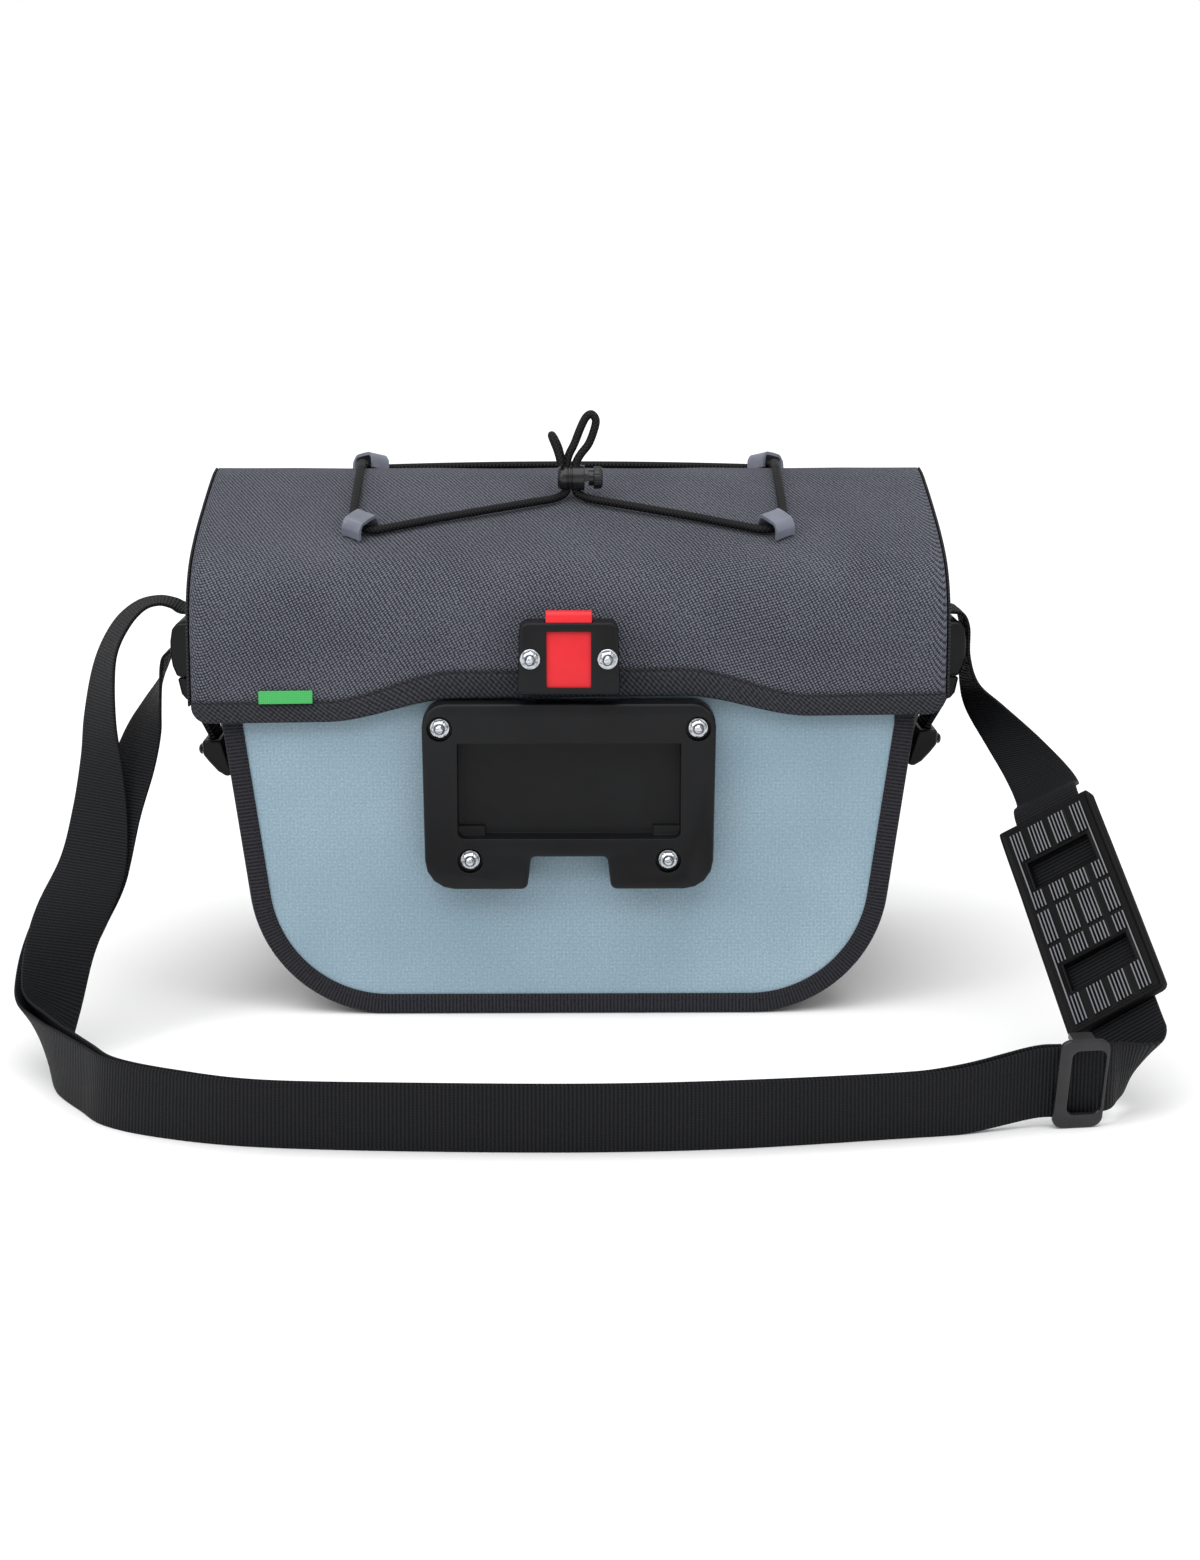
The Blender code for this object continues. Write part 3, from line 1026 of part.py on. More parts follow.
def add_strap():
    middle, across = strap_sections(FRONT_RUN + LEFT_TURN + LEFT_LEG + OUTER_ARCH)
    bar_inside = BUCKLE_X - BUCKLE_THICK / 2 - BUCKLE_STANDOFF / 2
    slot_z = (BUCKLE_SLOT_TOP + BUCKLE_SLOT_BOTTOM) / 2
    behind = np.array([(-bar_inside - WEB_WALL, BUCKLE_Y, BUCKLE_TOP + 2 * WEB_WALL),
                       (-bar_inside, BUCKLE_Y, BUCKLE_TOP - BUCKLE_BAR / 2), (-bar_inside, BUCKLE_Y, slot_z)])
    upright = np.tile((0.0, 1.0, 0.0), (2, 1))
    spans = 3
    middle, across = smooth_sections(np.vstack([middle, behind]),
                                     np.vstack([across, upright, upright[:1]]), spans)
    ribbon("strap_outer", middle, across, WEB_WIDTH, WEB_WALL, "webbing")

    shared = (len(FRONT_RUN + LEFT_TURN + LEFT_LEG) - 1) * spans + 1
    front = (len(FRONT_RUN) - 2) * spans
    loosening = np.interp(np.arange(len(middle)), [front, front + 2 * spans], [0.0, LAYER_SLACK])
    inner = beside(middle, across, -(LAYER + loosening)[:, None])[:shared]
    inner_across = across[:shared]
    loose_middle, loose_across = strap_sections(INNER_ARCH)
    outside = -BUCKLE_X - BUCKLE_THICK / 2
    inside = np.array([(outside - 2.8 * WEB_WALL, BUCKLE_Y - GAP, slot_z - 4.2 * WEB_WALL),
                       (outside - 1.9 * WEB_WALL, BUCKLE_Y, slot_z - 1.8 * WEB_WALL),
                       (outside + WEB_WALL, BUCKLE_Y, slot_z), (-BUCKLE_X, BUCKLE_Y, slot_z)])
    middle, across = smooth_sections(np.vstack([inner[-1:], loose_middle, inside]),
                                     np.vstack([inner_across[-1:], loose_across, upright, upright]), spans)
    ribbon("strap_inner", np.vstack([inner, middle[1:]]), np.vstack([inner_across, across[1:]]),
           WEB_WIDTH, WEB_WALL, "webbing")

    behind = behind[::-1] * (-1, 1, 1)
    rows = RIGHT_LEG + PAD_LINE + RIGHT_TAIL
    middle, across = strap_sections(rows, side=1)
    middle, across = smooth_sections(np.vstack([behind, middle]),
                                     np.vstack([upright, upright[:1], across]), spans)
    ribbon("strap_right", middle, across, WEB_WIDTH, WEB_WALL, "webbing")

    lengths = np.concatenate([[0.0], np.cumsum(np.linalg.norm(np.diff(middle, axis=0), axis=1))])
    first = (len(behind) + len(RIGHT_LEG)) * spans
    last = first + (len(PAD_LINE) - 1) * spans
    centre = (lengths[first] + lengths[last]) / 2
    line = np.hstack([beside(middle, across, -(WEB_WALL + PAD_WALL) / 2 - 3 * GAP), across])

    def stretch(start, end, points):
        """Middle line and crosswise directions between two distances from the pad's middle."""
        wanted = centre + np.linspace(start, end, points)
        part = np.stack([np.interp(wanted, lengths, line[:, i]) for i in range(6)], 1)
        return part[:, :3], part[:, 3:]

    pad = ribbon("shoulder_pad", *stretch(-PAD_LENGTH / 2, PAD_LENGTH / 2, 9), PAD_WIDTH, PAD_WALL, "rubber")
    slot_end = PAD_LENGTH / 2 - PAD_SLOT_INSET
    for side in (-1, 1):
        start, end = sorted((side * slot_end, side * (slot_end - PAD_SLOT)))
        window = stretch(start, end, 3)
        cut(pad, ribbon(f"pad_window_{side}", *window, PAD_SLOT_WIDTH, 2 * PAD_WALL))


def main():
    add_body()
    add_lid()
    add_plate()
    add_latch()
    add_cords()
    for side, label in ((-1, "left"), (1, "right")):
        add_side(side, label)
    add_strap()
    add_slider()


main()
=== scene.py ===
import json
from math import atan, atan2, cos, pi, radians, sin, tan

import bmesh
import bpy
import numpy as np
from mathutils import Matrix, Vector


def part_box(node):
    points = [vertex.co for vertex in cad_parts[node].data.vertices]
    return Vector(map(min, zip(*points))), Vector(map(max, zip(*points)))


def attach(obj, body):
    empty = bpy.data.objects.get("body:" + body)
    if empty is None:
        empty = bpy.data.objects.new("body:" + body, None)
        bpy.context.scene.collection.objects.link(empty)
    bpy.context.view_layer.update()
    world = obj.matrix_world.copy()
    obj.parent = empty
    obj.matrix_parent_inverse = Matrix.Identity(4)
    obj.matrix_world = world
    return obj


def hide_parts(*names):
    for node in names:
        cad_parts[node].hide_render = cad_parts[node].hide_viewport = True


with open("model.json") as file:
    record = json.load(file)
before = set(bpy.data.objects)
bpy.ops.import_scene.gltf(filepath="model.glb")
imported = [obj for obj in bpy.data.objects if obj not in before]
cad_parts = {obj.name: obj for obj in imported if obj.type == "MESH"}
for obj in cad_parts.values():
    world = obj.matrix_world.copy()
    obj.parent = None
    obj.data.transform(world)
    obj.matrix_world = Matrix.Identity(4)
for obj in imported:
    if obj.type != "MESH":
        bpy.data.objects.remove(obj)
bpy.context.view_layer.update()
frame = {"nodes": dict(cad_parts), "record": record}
print("frame loaded:", len(frame["nodes"]), "parts")


def linear(hexColour):
    # sRGB hex to the linear values that the shaders take
    value = np.array([int(hexColour[i:i + 2], 16) for i in (1, 3, 5)]) / 255
    value = np.where(value <= 0.04045, value / 12.92, ((value + 0.055) / 1.055) ** 2.4)
    return (*value.tolist(), 1.0)


def addObject(name, data):
    made = bpy.data.objects.new(name, data)
    bpy.context.scene.collection.objects.link(made)
    return made


def cornersOf(node):
    # the low and the high corner of a node's box
    return [np.array(corner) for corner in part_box(node)]


def crossed(rows, columns):
    # each row's value with each column's value, as pairs
    return np.stack(np.broadcast_arrays(rows[:, None], columns[None, :]), -1)


def addNode(tree, kind, settings, links):
    # a node with its settings (sockets by name or number, a ramp's stops as place and hex) and its links
    made = tree.nodes.new("ShaderNode" + kind)
    for key, value in settings.items():
        if key == "stops":
            stops = made.color_ramp.elements
            while len(stops) < len(value):
                stops.new(1.0)
            for stop, (place, colour) in zip(stops, value):
                stop.position, stop.color = place, linear(colour)
        elif isinstance(key, int) or key in made.inputs:
            made.inputs[key].default_value = value
        else:
            setattr(made, key, value)
    for key, source in links.items():
        tree.links.new(source, made.inputs[key])
    return made


def makeMaterial(name, surface, settings, steps):
    # steps: label, kind of node, settings, and the steps that feed its sockets; a step without feeds
    # takes the surface's own place, and the steps tint, rough and relief go to the shader
    material = bpy.data.materials.new(name)
    material.use_nodes = True
    tree = material.node_tree
    shader = tree.nodes["Principled BSDF"]
    for key, value in settings.items():
        shader.inputs[key].default_value = linear(value) if isinstance(value, str) else value
    places = {"cloth": ("UVMap", {"uv_map": "cloth"}), "place": ("TexCoord", {})}
    made = {}

    def output(source):
        label, _, socket = source.partition(".")
        if label not in made:
            made[label] = addNode(tree, *places[label], {})
        return made[label].outputs[socket or 0]

    for label, kind, values, *feeds in steps:
        feeds = feeds[0] if feeds else {"Vector": surface}
        made[label] = addNode(tree, kind, values, {key: output(feed) for key, feed in feeds.items()})
    for label, key in (("tint", "Base Color"), ("rough", "Roughness"), ("relief", "Normal")):
        if label in made:
            tree.links.new(output(label), shader.inputs[key])
    return material


def bands(pitch):
    # scale at which the wave node repeats every pitch metres: 20 x scale x pitch = one turn
    return pi / 10 / pitch


def gridSurface(name, points, uv, wrap=False, caps=False):
    # points[row][column]; uv the same, with one column more when the columns wrap round
    rows, columns = points.shape[:2]
    index = np.arange(rows * columns).reshape(rows, columns)
    if wrap:
        index = np.concatenate([index, index[:, :1]], 1)
    quads = np.stack([index[:-1, :-1], index[:-1, 1:], index[1:, 1:], index[1:, :-1]], -1).reshape(-1, 4)
    corners = np.stack([uv[:-1, :-1], uv[:-1, 1:], uv[1:, 1:], uv[1:, :-1]], 2).reshape(-1, 2)
    faces = quads.tolist()
    if caps:
        faces += [index[0, :columns][::-1].tolist(), index[-1, :columns].tolist()]
        corners = np.concatenate([corners, uv[0, :columns][::-1], uv[-1, :columns]])
    mesh = bpy.data.meshes.new(name)
    mesh.from_pydata(points.reshape(-1, 3).tolist(), [], faces)
    mesh.uv_layers.new(name="cloth").data.foreach_set("uv", corners.astype(np.float32).ravel())
    return mesh


def joinMeshes(name, meshes, weld=0.00002):
    # one mesh of several, with the points that meet merged
    joined = bmesh.new()
    joined.loops.layers.uv.new("cloth")
    for mesh in meshes:
        joined.from_mesh(mesh)
    bmesh.ops.remove_doubles(joined, verts=joined.verts, dist=weld)
    mesh = bpy.data.meshes.new(name)
    joined.to_mesh(mesh)
    joined.free()
    return mesh


def facingOut(mesh):
    # faces of a closed mesh turned outward
    shape = bmesh.new()
    shape.from_mesh(mesh)
    bmesh.ops.recalc_face_normals(shape, faces=shape.faces)
    shape.to_mesh(mesh)
    shape.free()
    return mesh


def addPiece(name, mesh, finishOf, replaces=(), body="bag", sharp=40, out=True):
    # finishOf: the record's slot, or the slot and the finish that stands for it
    slot, coat = finishOf if isinstance(finishOf, tuple) else (finishOf, finishOf)
    if out:
        facingOut(mesh)
    piece = addObject(name, mesh)
    mesh.materials.clear()
    mesh.materials.append(finish[coat])
    mesh.shade_smooth()
    mesh.set_sharp_from_angle(angle=radians(sharp))
    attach(piece, body)
    if replaces:
        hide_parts(*replaces)
    return piece


def addBand(name, points, uv, finishOf, node, sharp=40):
    # closed section carried along a line, with both ends shut
    addPiece(name, gridSurface(name, points, uv, wrap=True, caps=True), finishOf, (node,), sharp=sharp)


def roundEdges(piece, width, segments=3, angle=32):
    edge = piece.modifiers.new("roundedEdges", "BEVEL")
    edge.width, edge.segments, edge.limit_method = width, segments, "ANGLE"
    edge.angle_limit = radians(angle)
    edge.use_clamp_overlap = True


def splineThrough(rows, steps, closed=False):
    # Catmull-Rom: each span is a cubic through its two rows, with the slope of its neighbours
    rows = np.asarray(rows, float)
    if closed:
        held = np.vstack([rows[-1:], rows, rows[:2]])
    else:
        held = np.vstack([2 * rows[0] - rows[1], rows, 2 * rows[-1] - rows[-2]])
    p0, p1, p2, p3 = (held[i:len(held) - 3 + i, None, :] for i in range(4))
    t = np.linspace(0, 1, steps, endpoint=False)[None, :, None]
    spans = 0.5 * (2 * p1 + (p2 - p0) * t + (2 * p0 - 5 * p1 + 4 * p2 - p3) * t ** 2
                   + (3 * p1 - p0 - 3 * p2 + p3) * t ** 3).reshape(-1, rows.shape[1])
    return spans if closed else np.vstack([spans, rows[-1:]])


def lengthsAlong(line, closed=False):
    steps = np.linalg.norm(np.diff(np.vstack([line, line[:1]]) if closed else line, axis=0), axis=1)
    return np.concatenate([[0.0], np.cumsum(steps)])


def readAlong(at, along, line):
    # the line's columns at those lengths along it
    return np.stack([np.interp(at, along, column) for column in line.T], -1)


def unit(vectors):
    return vectors / np.maximum(np.linalg.norm(vectors, axis=-1, keepdims=True), 1e-12)


def roundTube(line, radius, sides, reference, closed=False):
    # circle of that radius carried along the line, its zero angle turned to the reference
    line = np.asarray(line, float)
    tangent = np.roll(line, -1, 0) - np.roll(line, 1, 0)
    if not closed:
        tangent[0], tangent[-1] = line[1] - line[0], line[-1] - line[-2]
    tangent = unit(tangent)
    side = unit(np.cross(tangent, np.broadcast_to(reference, line.shape)) + 1e-9)
    up = np.cross(side, tangent)
    turn = np.linspace(0, 2 * pi, sides, endpoint=False)
    ring = side[:, None] * np.cos(turn)[None, :, None] + up[:, None] * np.sin(turn)[None, :, None]
    points = line[:, None] + ring * radius
    along = lengthsAlong(line, closed)
    around = np.linspace(0, 2 * pi * radius, sides + 1)
    if closed:
        points = np.concatenate([points, points[:1]])
    uv = crossed(along, around)
    return points, uv


def turnedMesh(name, profile, centre, axis, across, radiusAt=None, sides=48):
    # profile of (distance along the axis, radius) turned about it; closed where the radius is 0
    profile = np.asarray(profile, float)
    axis, across = unit(np.array(axis, float)), unit(np.array(across, float))
    other = np.cross(axis, across)
    turn = np.linspace(0, 2 * pi, sides, endpoint=False)
    radius = np.broadcast_to(profile[:, 1:], (len(profile), sides))
    if radiusAt is not None:
        radius = radiusAt(profile[:, :1], radius, turn[None, :])
    spokes = np.cos(turn)[:, None] * across + np.sin(turn)[:, None] * other
    points = np.array(centre, float) + profile[:, :1, None] * axis + radius[..., None] * spokes[None]
    along = lengthsAlong(profile)
    uv = crossed(along, np.linspace(0, 2 * pi, sides + 1) * 0.003)
    return joinMeshes(name, [gridSurface(name, points, uv, wrap=True)], weld=0.000004)


def solidCopy(node):
    # the solid's own shape with its loose triangles merged and its flat faces made whole
    shape = bmesh.new()
    shape.from_mesh(frame["nodes"][node].data)
    bmesh.ops.remove_doubles(shape, verts=shape.verts, dist=0.000005)
    bmesh.ops.dissolve_limit(shape, angle_limit=radians(1.5), verts=shape.verts, edges=shape.edges)
    mesh = bpy.data.meshes.new(node)
    shape.to_mesh(mesh)
    shape.free()
    return mesh


def roundedSolid(name, node, finishOf, width, segments=3, body="bag"):
    # the solid itself, with rounded edges
    roundEdges(addPiece(name, solidCopy(node), finishOf, (node,), body=body, out=False), width, segments)


def boxMesh(name, low, high, place):
    # box between two corners; place turns its own axes into the bag's
    shape = bmesh.new()
    bmesh.ops.create_cube(shape, size=1.0)
    low, high = np.array(low, float), np.array(high, float)
    for corner in shape.verts:
        corner.co = place((low + high) / 2 + np.array(corner.co) * (high - low))
    mesh = bpy.data.meshes.new(name)
    shape.to_mesh(mesh)
    shape.free()
    return mesh


photo = {
    "distance": 0.950,       # in front of the body's front panel
    "height": 0.271,
    "pitch": 11.0,           # degrees down
    "focal": 2703.0,         # pixels, of 1200 x 1560
    "aside": 31.5,           # pixels that the bag stands left of the middle
    "tall": 1560.0,
}


def addCamera():
    lens = bpy.data.cameras.new("photoCamera")
    lens.sensor_fit = "AUTO"
    lens.sensor_width = 36.0
    lens.lens = photo["focal"] / photo["tall"] * lens.sensor_width
    lens.clip_start, lens.clip_end = 0.01, 60.0
    camera = addObject("photoCamera", lens)
    camera.location = (0.0, -photo["distance"], photo["height"])
    camera.rotation_euler = (radians(90 - photo["pitch"]), 0.0, -atan(photo["aside"] / photo["focal"]))
    bpy.context.scene.camera = camera


studio = {
    "floorColour": "#FAFAFA",
    "skyLight": 0.62,        # what the room's white walls give as light
    "skySeen": 1.0,          # how white they look
    "sun": (2.2, 25.0, -16.0, 66.0),   # strength, degrees from overhead, degrees aside, softness
    # place, size and power of each soft box, all aimed at the bag
    "boxes": [
        ((-1.0, -0.9, 0.75), 0.5, 3.5),
        ((1.0, -1.0, 0.9), 0.5, 2.5),
    ],
    "aim": (0.0, 0.0, 0.12),
}


def addStudio():
    mesh = bpy.data.meshes.new("studioFloor")
    mesh.from_pydata([(-25, -25, 0), (25, -25, 0), (25, 25, 0), (-25, 25, 0)], [], [(0, 1, 2, 3)])
    floor = addObject("studioFloor", mesh)
    # Seamless background paper: white and quite matt
    mesh.materials.append(makeMaterial("backgroundPaper", None, {
        "Base Color": studio["floorColour"], "Roughness": 0.95, "Specular IOR Level": 0.0}, []))

    world = bpy.data.worlds.new("studioWorld")
    bpy.context.scene.world = world
    world.use_nodes = True
    tree = world.node_tree
    sky = tree.nodes["Background"]
    sky.inputs["Color"].default_value = (1.0, 1.0, 1.0, 1.0)
    path = addNode(tree, "LightPath", {}, {})
    level = addNode(tree, "MapRange", {"To Min": studio["skyLight"], "To Max": studio["skySeen"]},
                    {"Value": path.outputs["Is Camera Ray"]})
    tree.links.new(level.outputs[0], sky.inputs["Strength"])
    strength, tilt, aside, soft = studio["sun"]
    lamp = bpy.data.lights.new("windowLight", "SUN")
    lamp.energy, lamp.angle = strength, radians(soft)
    window = addObject("windowLight", lamp)
    window.rotation_euler = (radians(tilt), 0.0, radians(aside))
    for i, (place, size, power) in enumerate(studio["boxes"]):
        lamp = bpy.data.lights.new(f"softBox{i}", "AREA")
        lamp.size, lamp.energy = size, power
        box = addObject(f"softBox{i}", lamp)
        box.location = place
        aim = np.array(studio["aim"]) - place
        box.rotation_euler = (np.arctan2(np.hypot(aim[0], aim[1]), -aim[2]), 0.0,
                              np.arctan2(-aim[0], aim[1]))
    bpy.context.scene.view_settings.view_transform = "Standard"


addCamera()
addStudio()
print("camera and studio")

finish = {
    # Twill-woven polyester, coated at the back: matt grey, light flecks where threads lie on top.
    # The threads are 0.8 mm apart and drawn 0.95 mm apart, so that they show.
    "grey_fabric": makeMaterial("twillPolyesterGrey", "cloth", {
        "Roughness": 0.85, "Specular IOR Level": 0.18, "Sheen Weight": 0.04, "Sheen Roughness": 0.5}, [
        ("steep", "Mapping", {"Rotation": (0.0, 0.0, radians(63))}),
        ("flat", "Mapping", {"Rotation": (0.0, 0.0, radians(-27))}),
        ("twill", "TexWave", {"Scale": bands(0.00095), "Distortion": 0.9, "Detail": 1.0,
                              "Detail Scale": 1.6}, {"Vector": "steep"}),
        ("steps", "TexWave", {"Scale": bands(0.00120), "Distortion": 0.9, "Detail": 1.0,
                              "Detail Scale": 1.6}, {"Vector": "flat"}),
        ("fleck", "TexNoise", {"Scale": 1150.0, "Detail": 2.0, "Roughness": 0.7}),
        ("cloud", "TexNoise", {"Scale": 26.0, "Detail": 4.0, "Roughness": 0.6}),
        ("weave", "Math", {"operation": "MULTIPLY"}, {0: "twill", 1: "steps"}),
        ("threads", "Math", {"operation": "MULTIPLY_ADD", 1: 0.75}, {0: "weave", 2: "fleck"}),
        ("mixed", "Math", {"operation": "MULTIPLY_ADD", 1: 0.25}, {0: "cloud", 2: "threads"}),
        ("tint", "ValToRGB", {"stops": [(0.42, "#151619"), (0.72, "#2F3139"), (1.0, "#696B75")]},
         {0: "mixed"}),
        ("relief", "Bump", {"Strength": 0.55, "Distance": 0.00035}, {"Height": "threads"}),
    ]),
    # Coated tarpaulin: a satin blue film over a fine carrier cloth, whose grain just shows
    "blue_fabric": makeMaterial("coatedTarpaulinBlue", "place.Object", {
        "Roughness": 0.52, "Specular IOR Level": 0.30}, [
        ("grain", "TexNoise", {"Scale": 1250.0, "Detail": 2.0, "Roughness": 0.8}),
        ("cloud", "TexNoise", {"Scale": 17.0, "Detail": 2.0, "Roughness": 0.5}),
        ("warp", "TexWave", {"Scale": bands(0.0013)}),
        ("weft", "TexWave", {"bands_direction": "Z", "Scale": bands(0.0013)}),
        ("carrier", "Math", {"operation": "MULTIPLY"}, {0: "warp", 1: "weft"}),
        ("film", "Math", {"operation": "MULTIPLY_ADD", 1: 0.10}, {0: "carrier", 2: "grain"}),
        ("mixed", "Math", {"operation": "MULTIPLY_ADD", 1: 0.45}, {0: "cloud", 2: "film"}),
        ("tint", "ValToRGB", {"stops": [(0.45, "#708A9A"), (0.78, "#889FAC"), (1.0, "#9FB1BC")]},
         {0: "mixed"}),
        ("relief", "Bump", {"Strength": 0.30, "Distance": 0.00012}, {"Height": "film"}),
    ]),
    # The gusset's cloth, anthracite, with a rubbery matt coating
    "dark_fabric": makeMaterial("coatedClothAnthracite", "cloth", {
        "Roughness": 0.75, "Specular IOR Level": 0.16, "Sheen Weight": 0.02}, [
        ("warp", "TexWave", {"Scale": bands(0.0012)}),
        ("weft", "TexWave", {"bands_direction": "Y", "Scale": bands(0.0012)}),
        ("grain", "TexNoise", {"Scale": 420.0, "Detail": 4.0, "Roughness": 0.6}),
        ("weave", "Math", {"operation": "MULTIPLY"}, {0: "warp", 1: "weft"}),
        ("mixed", "Math", {"operation": "MULTIPLY_ADD", 1: 0.45}, {0: "weave", 2: "grain"}),
        ("tint", "ValToRGB", {"stops": [(0.3, "#141416"), (0.95, "#29292E")]}, {0: "mixed"}),
        ("relief", "Bump", {"Strength": 0.5, "Distance": 0.0003}, {"Height": "mixed"}),
    ]),
    # Woven binding tape: close ribs across its length that catch the light one by one
    "tape": makeMaterial("wovenBindingTape", "cloth", {
        "Roughness": 0.8, "Specular IOR Level": 0.13, "Sheen Weight": 0.03}, [
        ("ribs", "TexWave", {"Scale": bands(0.0013), "Distortion": 0.5}),
        ("fuzz", "TexNoise", {"Scale": 800.0, "Detail": 3.0, "Roughness": 0.8}),
        ("mixed", "Math", {"operation": "MULTIPLY_ADD", 1: 0.7}, {0: "ribs", 2: "fuzz"}),
        ("tint", "ValToRGB", {"stops": [(0.4, "#0E0E10"), (1.0, "#2D2D33")]}, {0: "mixed"}),
        ("relief", "Bump", {"Strength": 0.8, "Distance": 0.0004}, {"Height": "mixed"}),
    ]),
    # The hem's own cloth: a dark steep twill, matt, its ridges 1.15 mm apart
    "hem": makeMaterial("twillHemDark", "cloth", {
        "Roughness": 0.85, "Specular IOR Level": 0.14, "Sheen Weight": 0.03}, [
        ("turned", "Mapping", {"Rotation": (0.0, 0.0, radians(-52))}),
        ("crossed", "Mapping", {"Rotation": (0.0, 0.0, radians(38))}),
        ("twill", "TexWave", {"Scale": bands(0.00115), "Distortion": 0.8}, {"Vector": "turned"}),
        ("steps", "TexWave", {"Scale": bands(0.0016), "Distortion": 0.9}, {"Vector": "crossed"}),
        ("fuzz", "TexNoise", {"Scale": 900.0, "Detail": 2.0, "Roughness": 0.8}),
        ("weave", "Math", {"operation": "MULTIPLY_ADD", 1: 0.45}, {0: "twill", 2: "fuzz"}),
        ("mixed", "Math", {"operation": "MULTIPLY_ADD", 1: 0.25}, {0: "steps", 2: "weave"}),
        ("tint", "ValToRGB", {"stops": [(0.45, "#161619"), (0.85, "#26272B"), (1.0, "#3A3B41")]},
         {0: "mixed"}),
        ("relief", "Bump", {"Strength": 0.6, "Distance": 0.0004}, {"Height": "mixed"}),
    ]),
    # Polyester webbing, woven in cross ribs 1.25 mm apart: black, with a faint sheen on the ribs
    "webbing": makeMaterial("ribbedWebbingBlack", "cloth", {
        "Roughness": 0.62, "Specular IOR Level": 0.13}, [
        ("ribs", "TexWave", {"Scale": bands(0.00125), "Distortion": 0.25}),
        ("yarns", "TexWave", {"bands_direction": "Y", "Scale": bands(0.0010), "Distortion": 0.4}),
        ("fuzz", "TexNoise", {"Scale": 1100.0, "Detail": 2.0, "Roughness": 0.8}),
        ("height", "Math", {"operation": "MULTIPLY_ADD", 1: 0.22}, {0: "yarns", 2: "ribs"}),
        ("mixed", "Math", {"operation": "MULTIPLY_ADD", 1: 0.45}, {0: "fuzz", 2: "height"}),
        ("tint", "ValToRGB", {"stops": [(0.35, "#030304"), (1.0, "#1B1C1F")]}, {0: "mixed"}),
        ("relief", "Bump", {"Strength": 0.85, "Distance": 0.0004}, {"Height": "height"}),
    ]),
    # Glass-filled nylon, moulded in a finely spark-eroded tool: black, satin
    "plastic": makeMaterial("mouldedNylonBlack", "place.Object", {
        "Specular IOR Level": 0.20}, [
        ("grain", "TexNoise", {"Scale": 2600.0, "Detail": 2.0, "Roughness": 0.7}),
        ("cloud", "TexNoise", {"Scale": 30.0, "Detail": 3.0, "Roughness": 0.6}),
        ("tint", "ValToRGB", {"stops": [(0.3, "#0B0B0D"), (0.7, "#131416")]}, {0: "cloud"}),
        ("rough", "MapRange", {"To Min": 0.30, "To Max": 0.42}, {"Value": "cloud"}),
        ("relief", "Bump", {"Strength": 0.35, "Distance": 0.00005}, {"Height": "grain"}),
    ]),
    # Acetal, moulded smooth: very dark grey and glossy, as the strap's slider and the cord lock are
    "glossPlastic": makeMaterial("mouldedAcetalDark", "place.Object", {
        "Specular IOR Level": 0.40}, [
        ("cloud", "TexNoise", {"Scale": 160.0, "Detail": 3.0, "Roughness": 0.6}),
        ("tint", "ValToRGB", {"stops": [(0.3, "#141416"), (0.7, "#1E1E21")]}, {0: "cloud"}),
        ("rough", "MapRange", {"To Min": 0.20, "To Max": 0.32}, {"Value": "cloud"}),
        ("relief", "Bump", {"Strength": 0.2, "Distance": 0.00004}, {"Height": "cloud"}),
    ]),
    # Moulded ABS, red: an even satin shine
    "red_plastic": makeMaterial("mouldedAbsRed", "place.Object", {
        "Roughness": 0.38, "Specular IOR Level": 0.3}, [
        ("cloud", "TexNoise", {"Scale": 70.0, "Detail": 2.0, "Roughness": 0.5}),
        ("grain", "TexNoise", {"Scale": 2200.0, "Detail": 2.0, "Roughness": 0.6}),
        ("tint", "ValToRGB", {"stops": [(0.3, "#CE1F29"), (0.7, "#DA252E")]}, {0: "cloud"}),
        ("relief", "Bump", {"Strength": 0.3, "Distance": 0.00004}, {"Height": "grain"}),
    ]),
    # Zinc-plated steel, pressed and threaded: bright, with fine scratches and a few dull spots
    "zinc_steel": makeMaterial("platedSteelBright", "place.Object", {
        "Metallic": 1.0}, [
        ("cloud", "TexNoise", {"Scale": 600.0, "Detail": 4.0, "Roughness": 0.7}),
        ("tint", "ValToRGB", {"stops": [(0.3, "#A9ADB3"), (0.7, "#D6D9DD")]}, {0: "cloud"}),
        ("rough", "MapRange", {"To Min": 0.10, "To Max": 0.30}, {"Value": "cloud"}),
    ]),
    # Soft PVC, moulded: grey, with a wet shine
    "tab_plastic": makeMaterial("softPvcGrey", "place.Object", {
        "Roughness": 0.30}, [
        ("cloud", "TexNoise", {"Scale": 90.0, "Detail": 3.0, "Roughness": 0.6}),
        ("tint", "ValToRGB", {"stops": [(0.3, "#60646F"), (0.7, "#727683")]}, {0: "cloud"}),
        ("relief", "Bump", {"Strength": 0.08, "Distance": 0.0001}, {"Height": "cloud"}),
    ]),
    # Elastic cord in a braided sleeve: black yarns that cross in diamonds 1.1 mm apart
    "elastic": makeMaterial("braidedElasticBlack", "cloth", {
        "Roughness": 0.5, "Specular IOR Level": 0.18}, [
        ("left", "Mapping", {"Rotation": (0.0, 0.0, radians(38))}),
        ("right", "Mapping", {"Rotation": (0.0, 0.0, radians(-38))}),
        ("over", "TexWave", {"Scale": bands(0.0011)}, {"Vector": "left"}),
        ("under", "TexWave", {"Scale": bands(0.0011)}, {"Vector": "right"}),
        ("braid", "Math", {"operation": "MULTIPLY"}, {0: "over", 1: "under"}),
        ("tint", "ValToRGB", {"stops": [(0.1, "#040405"), (0.9, "#1E1E21")]}, {0: "braid"}),
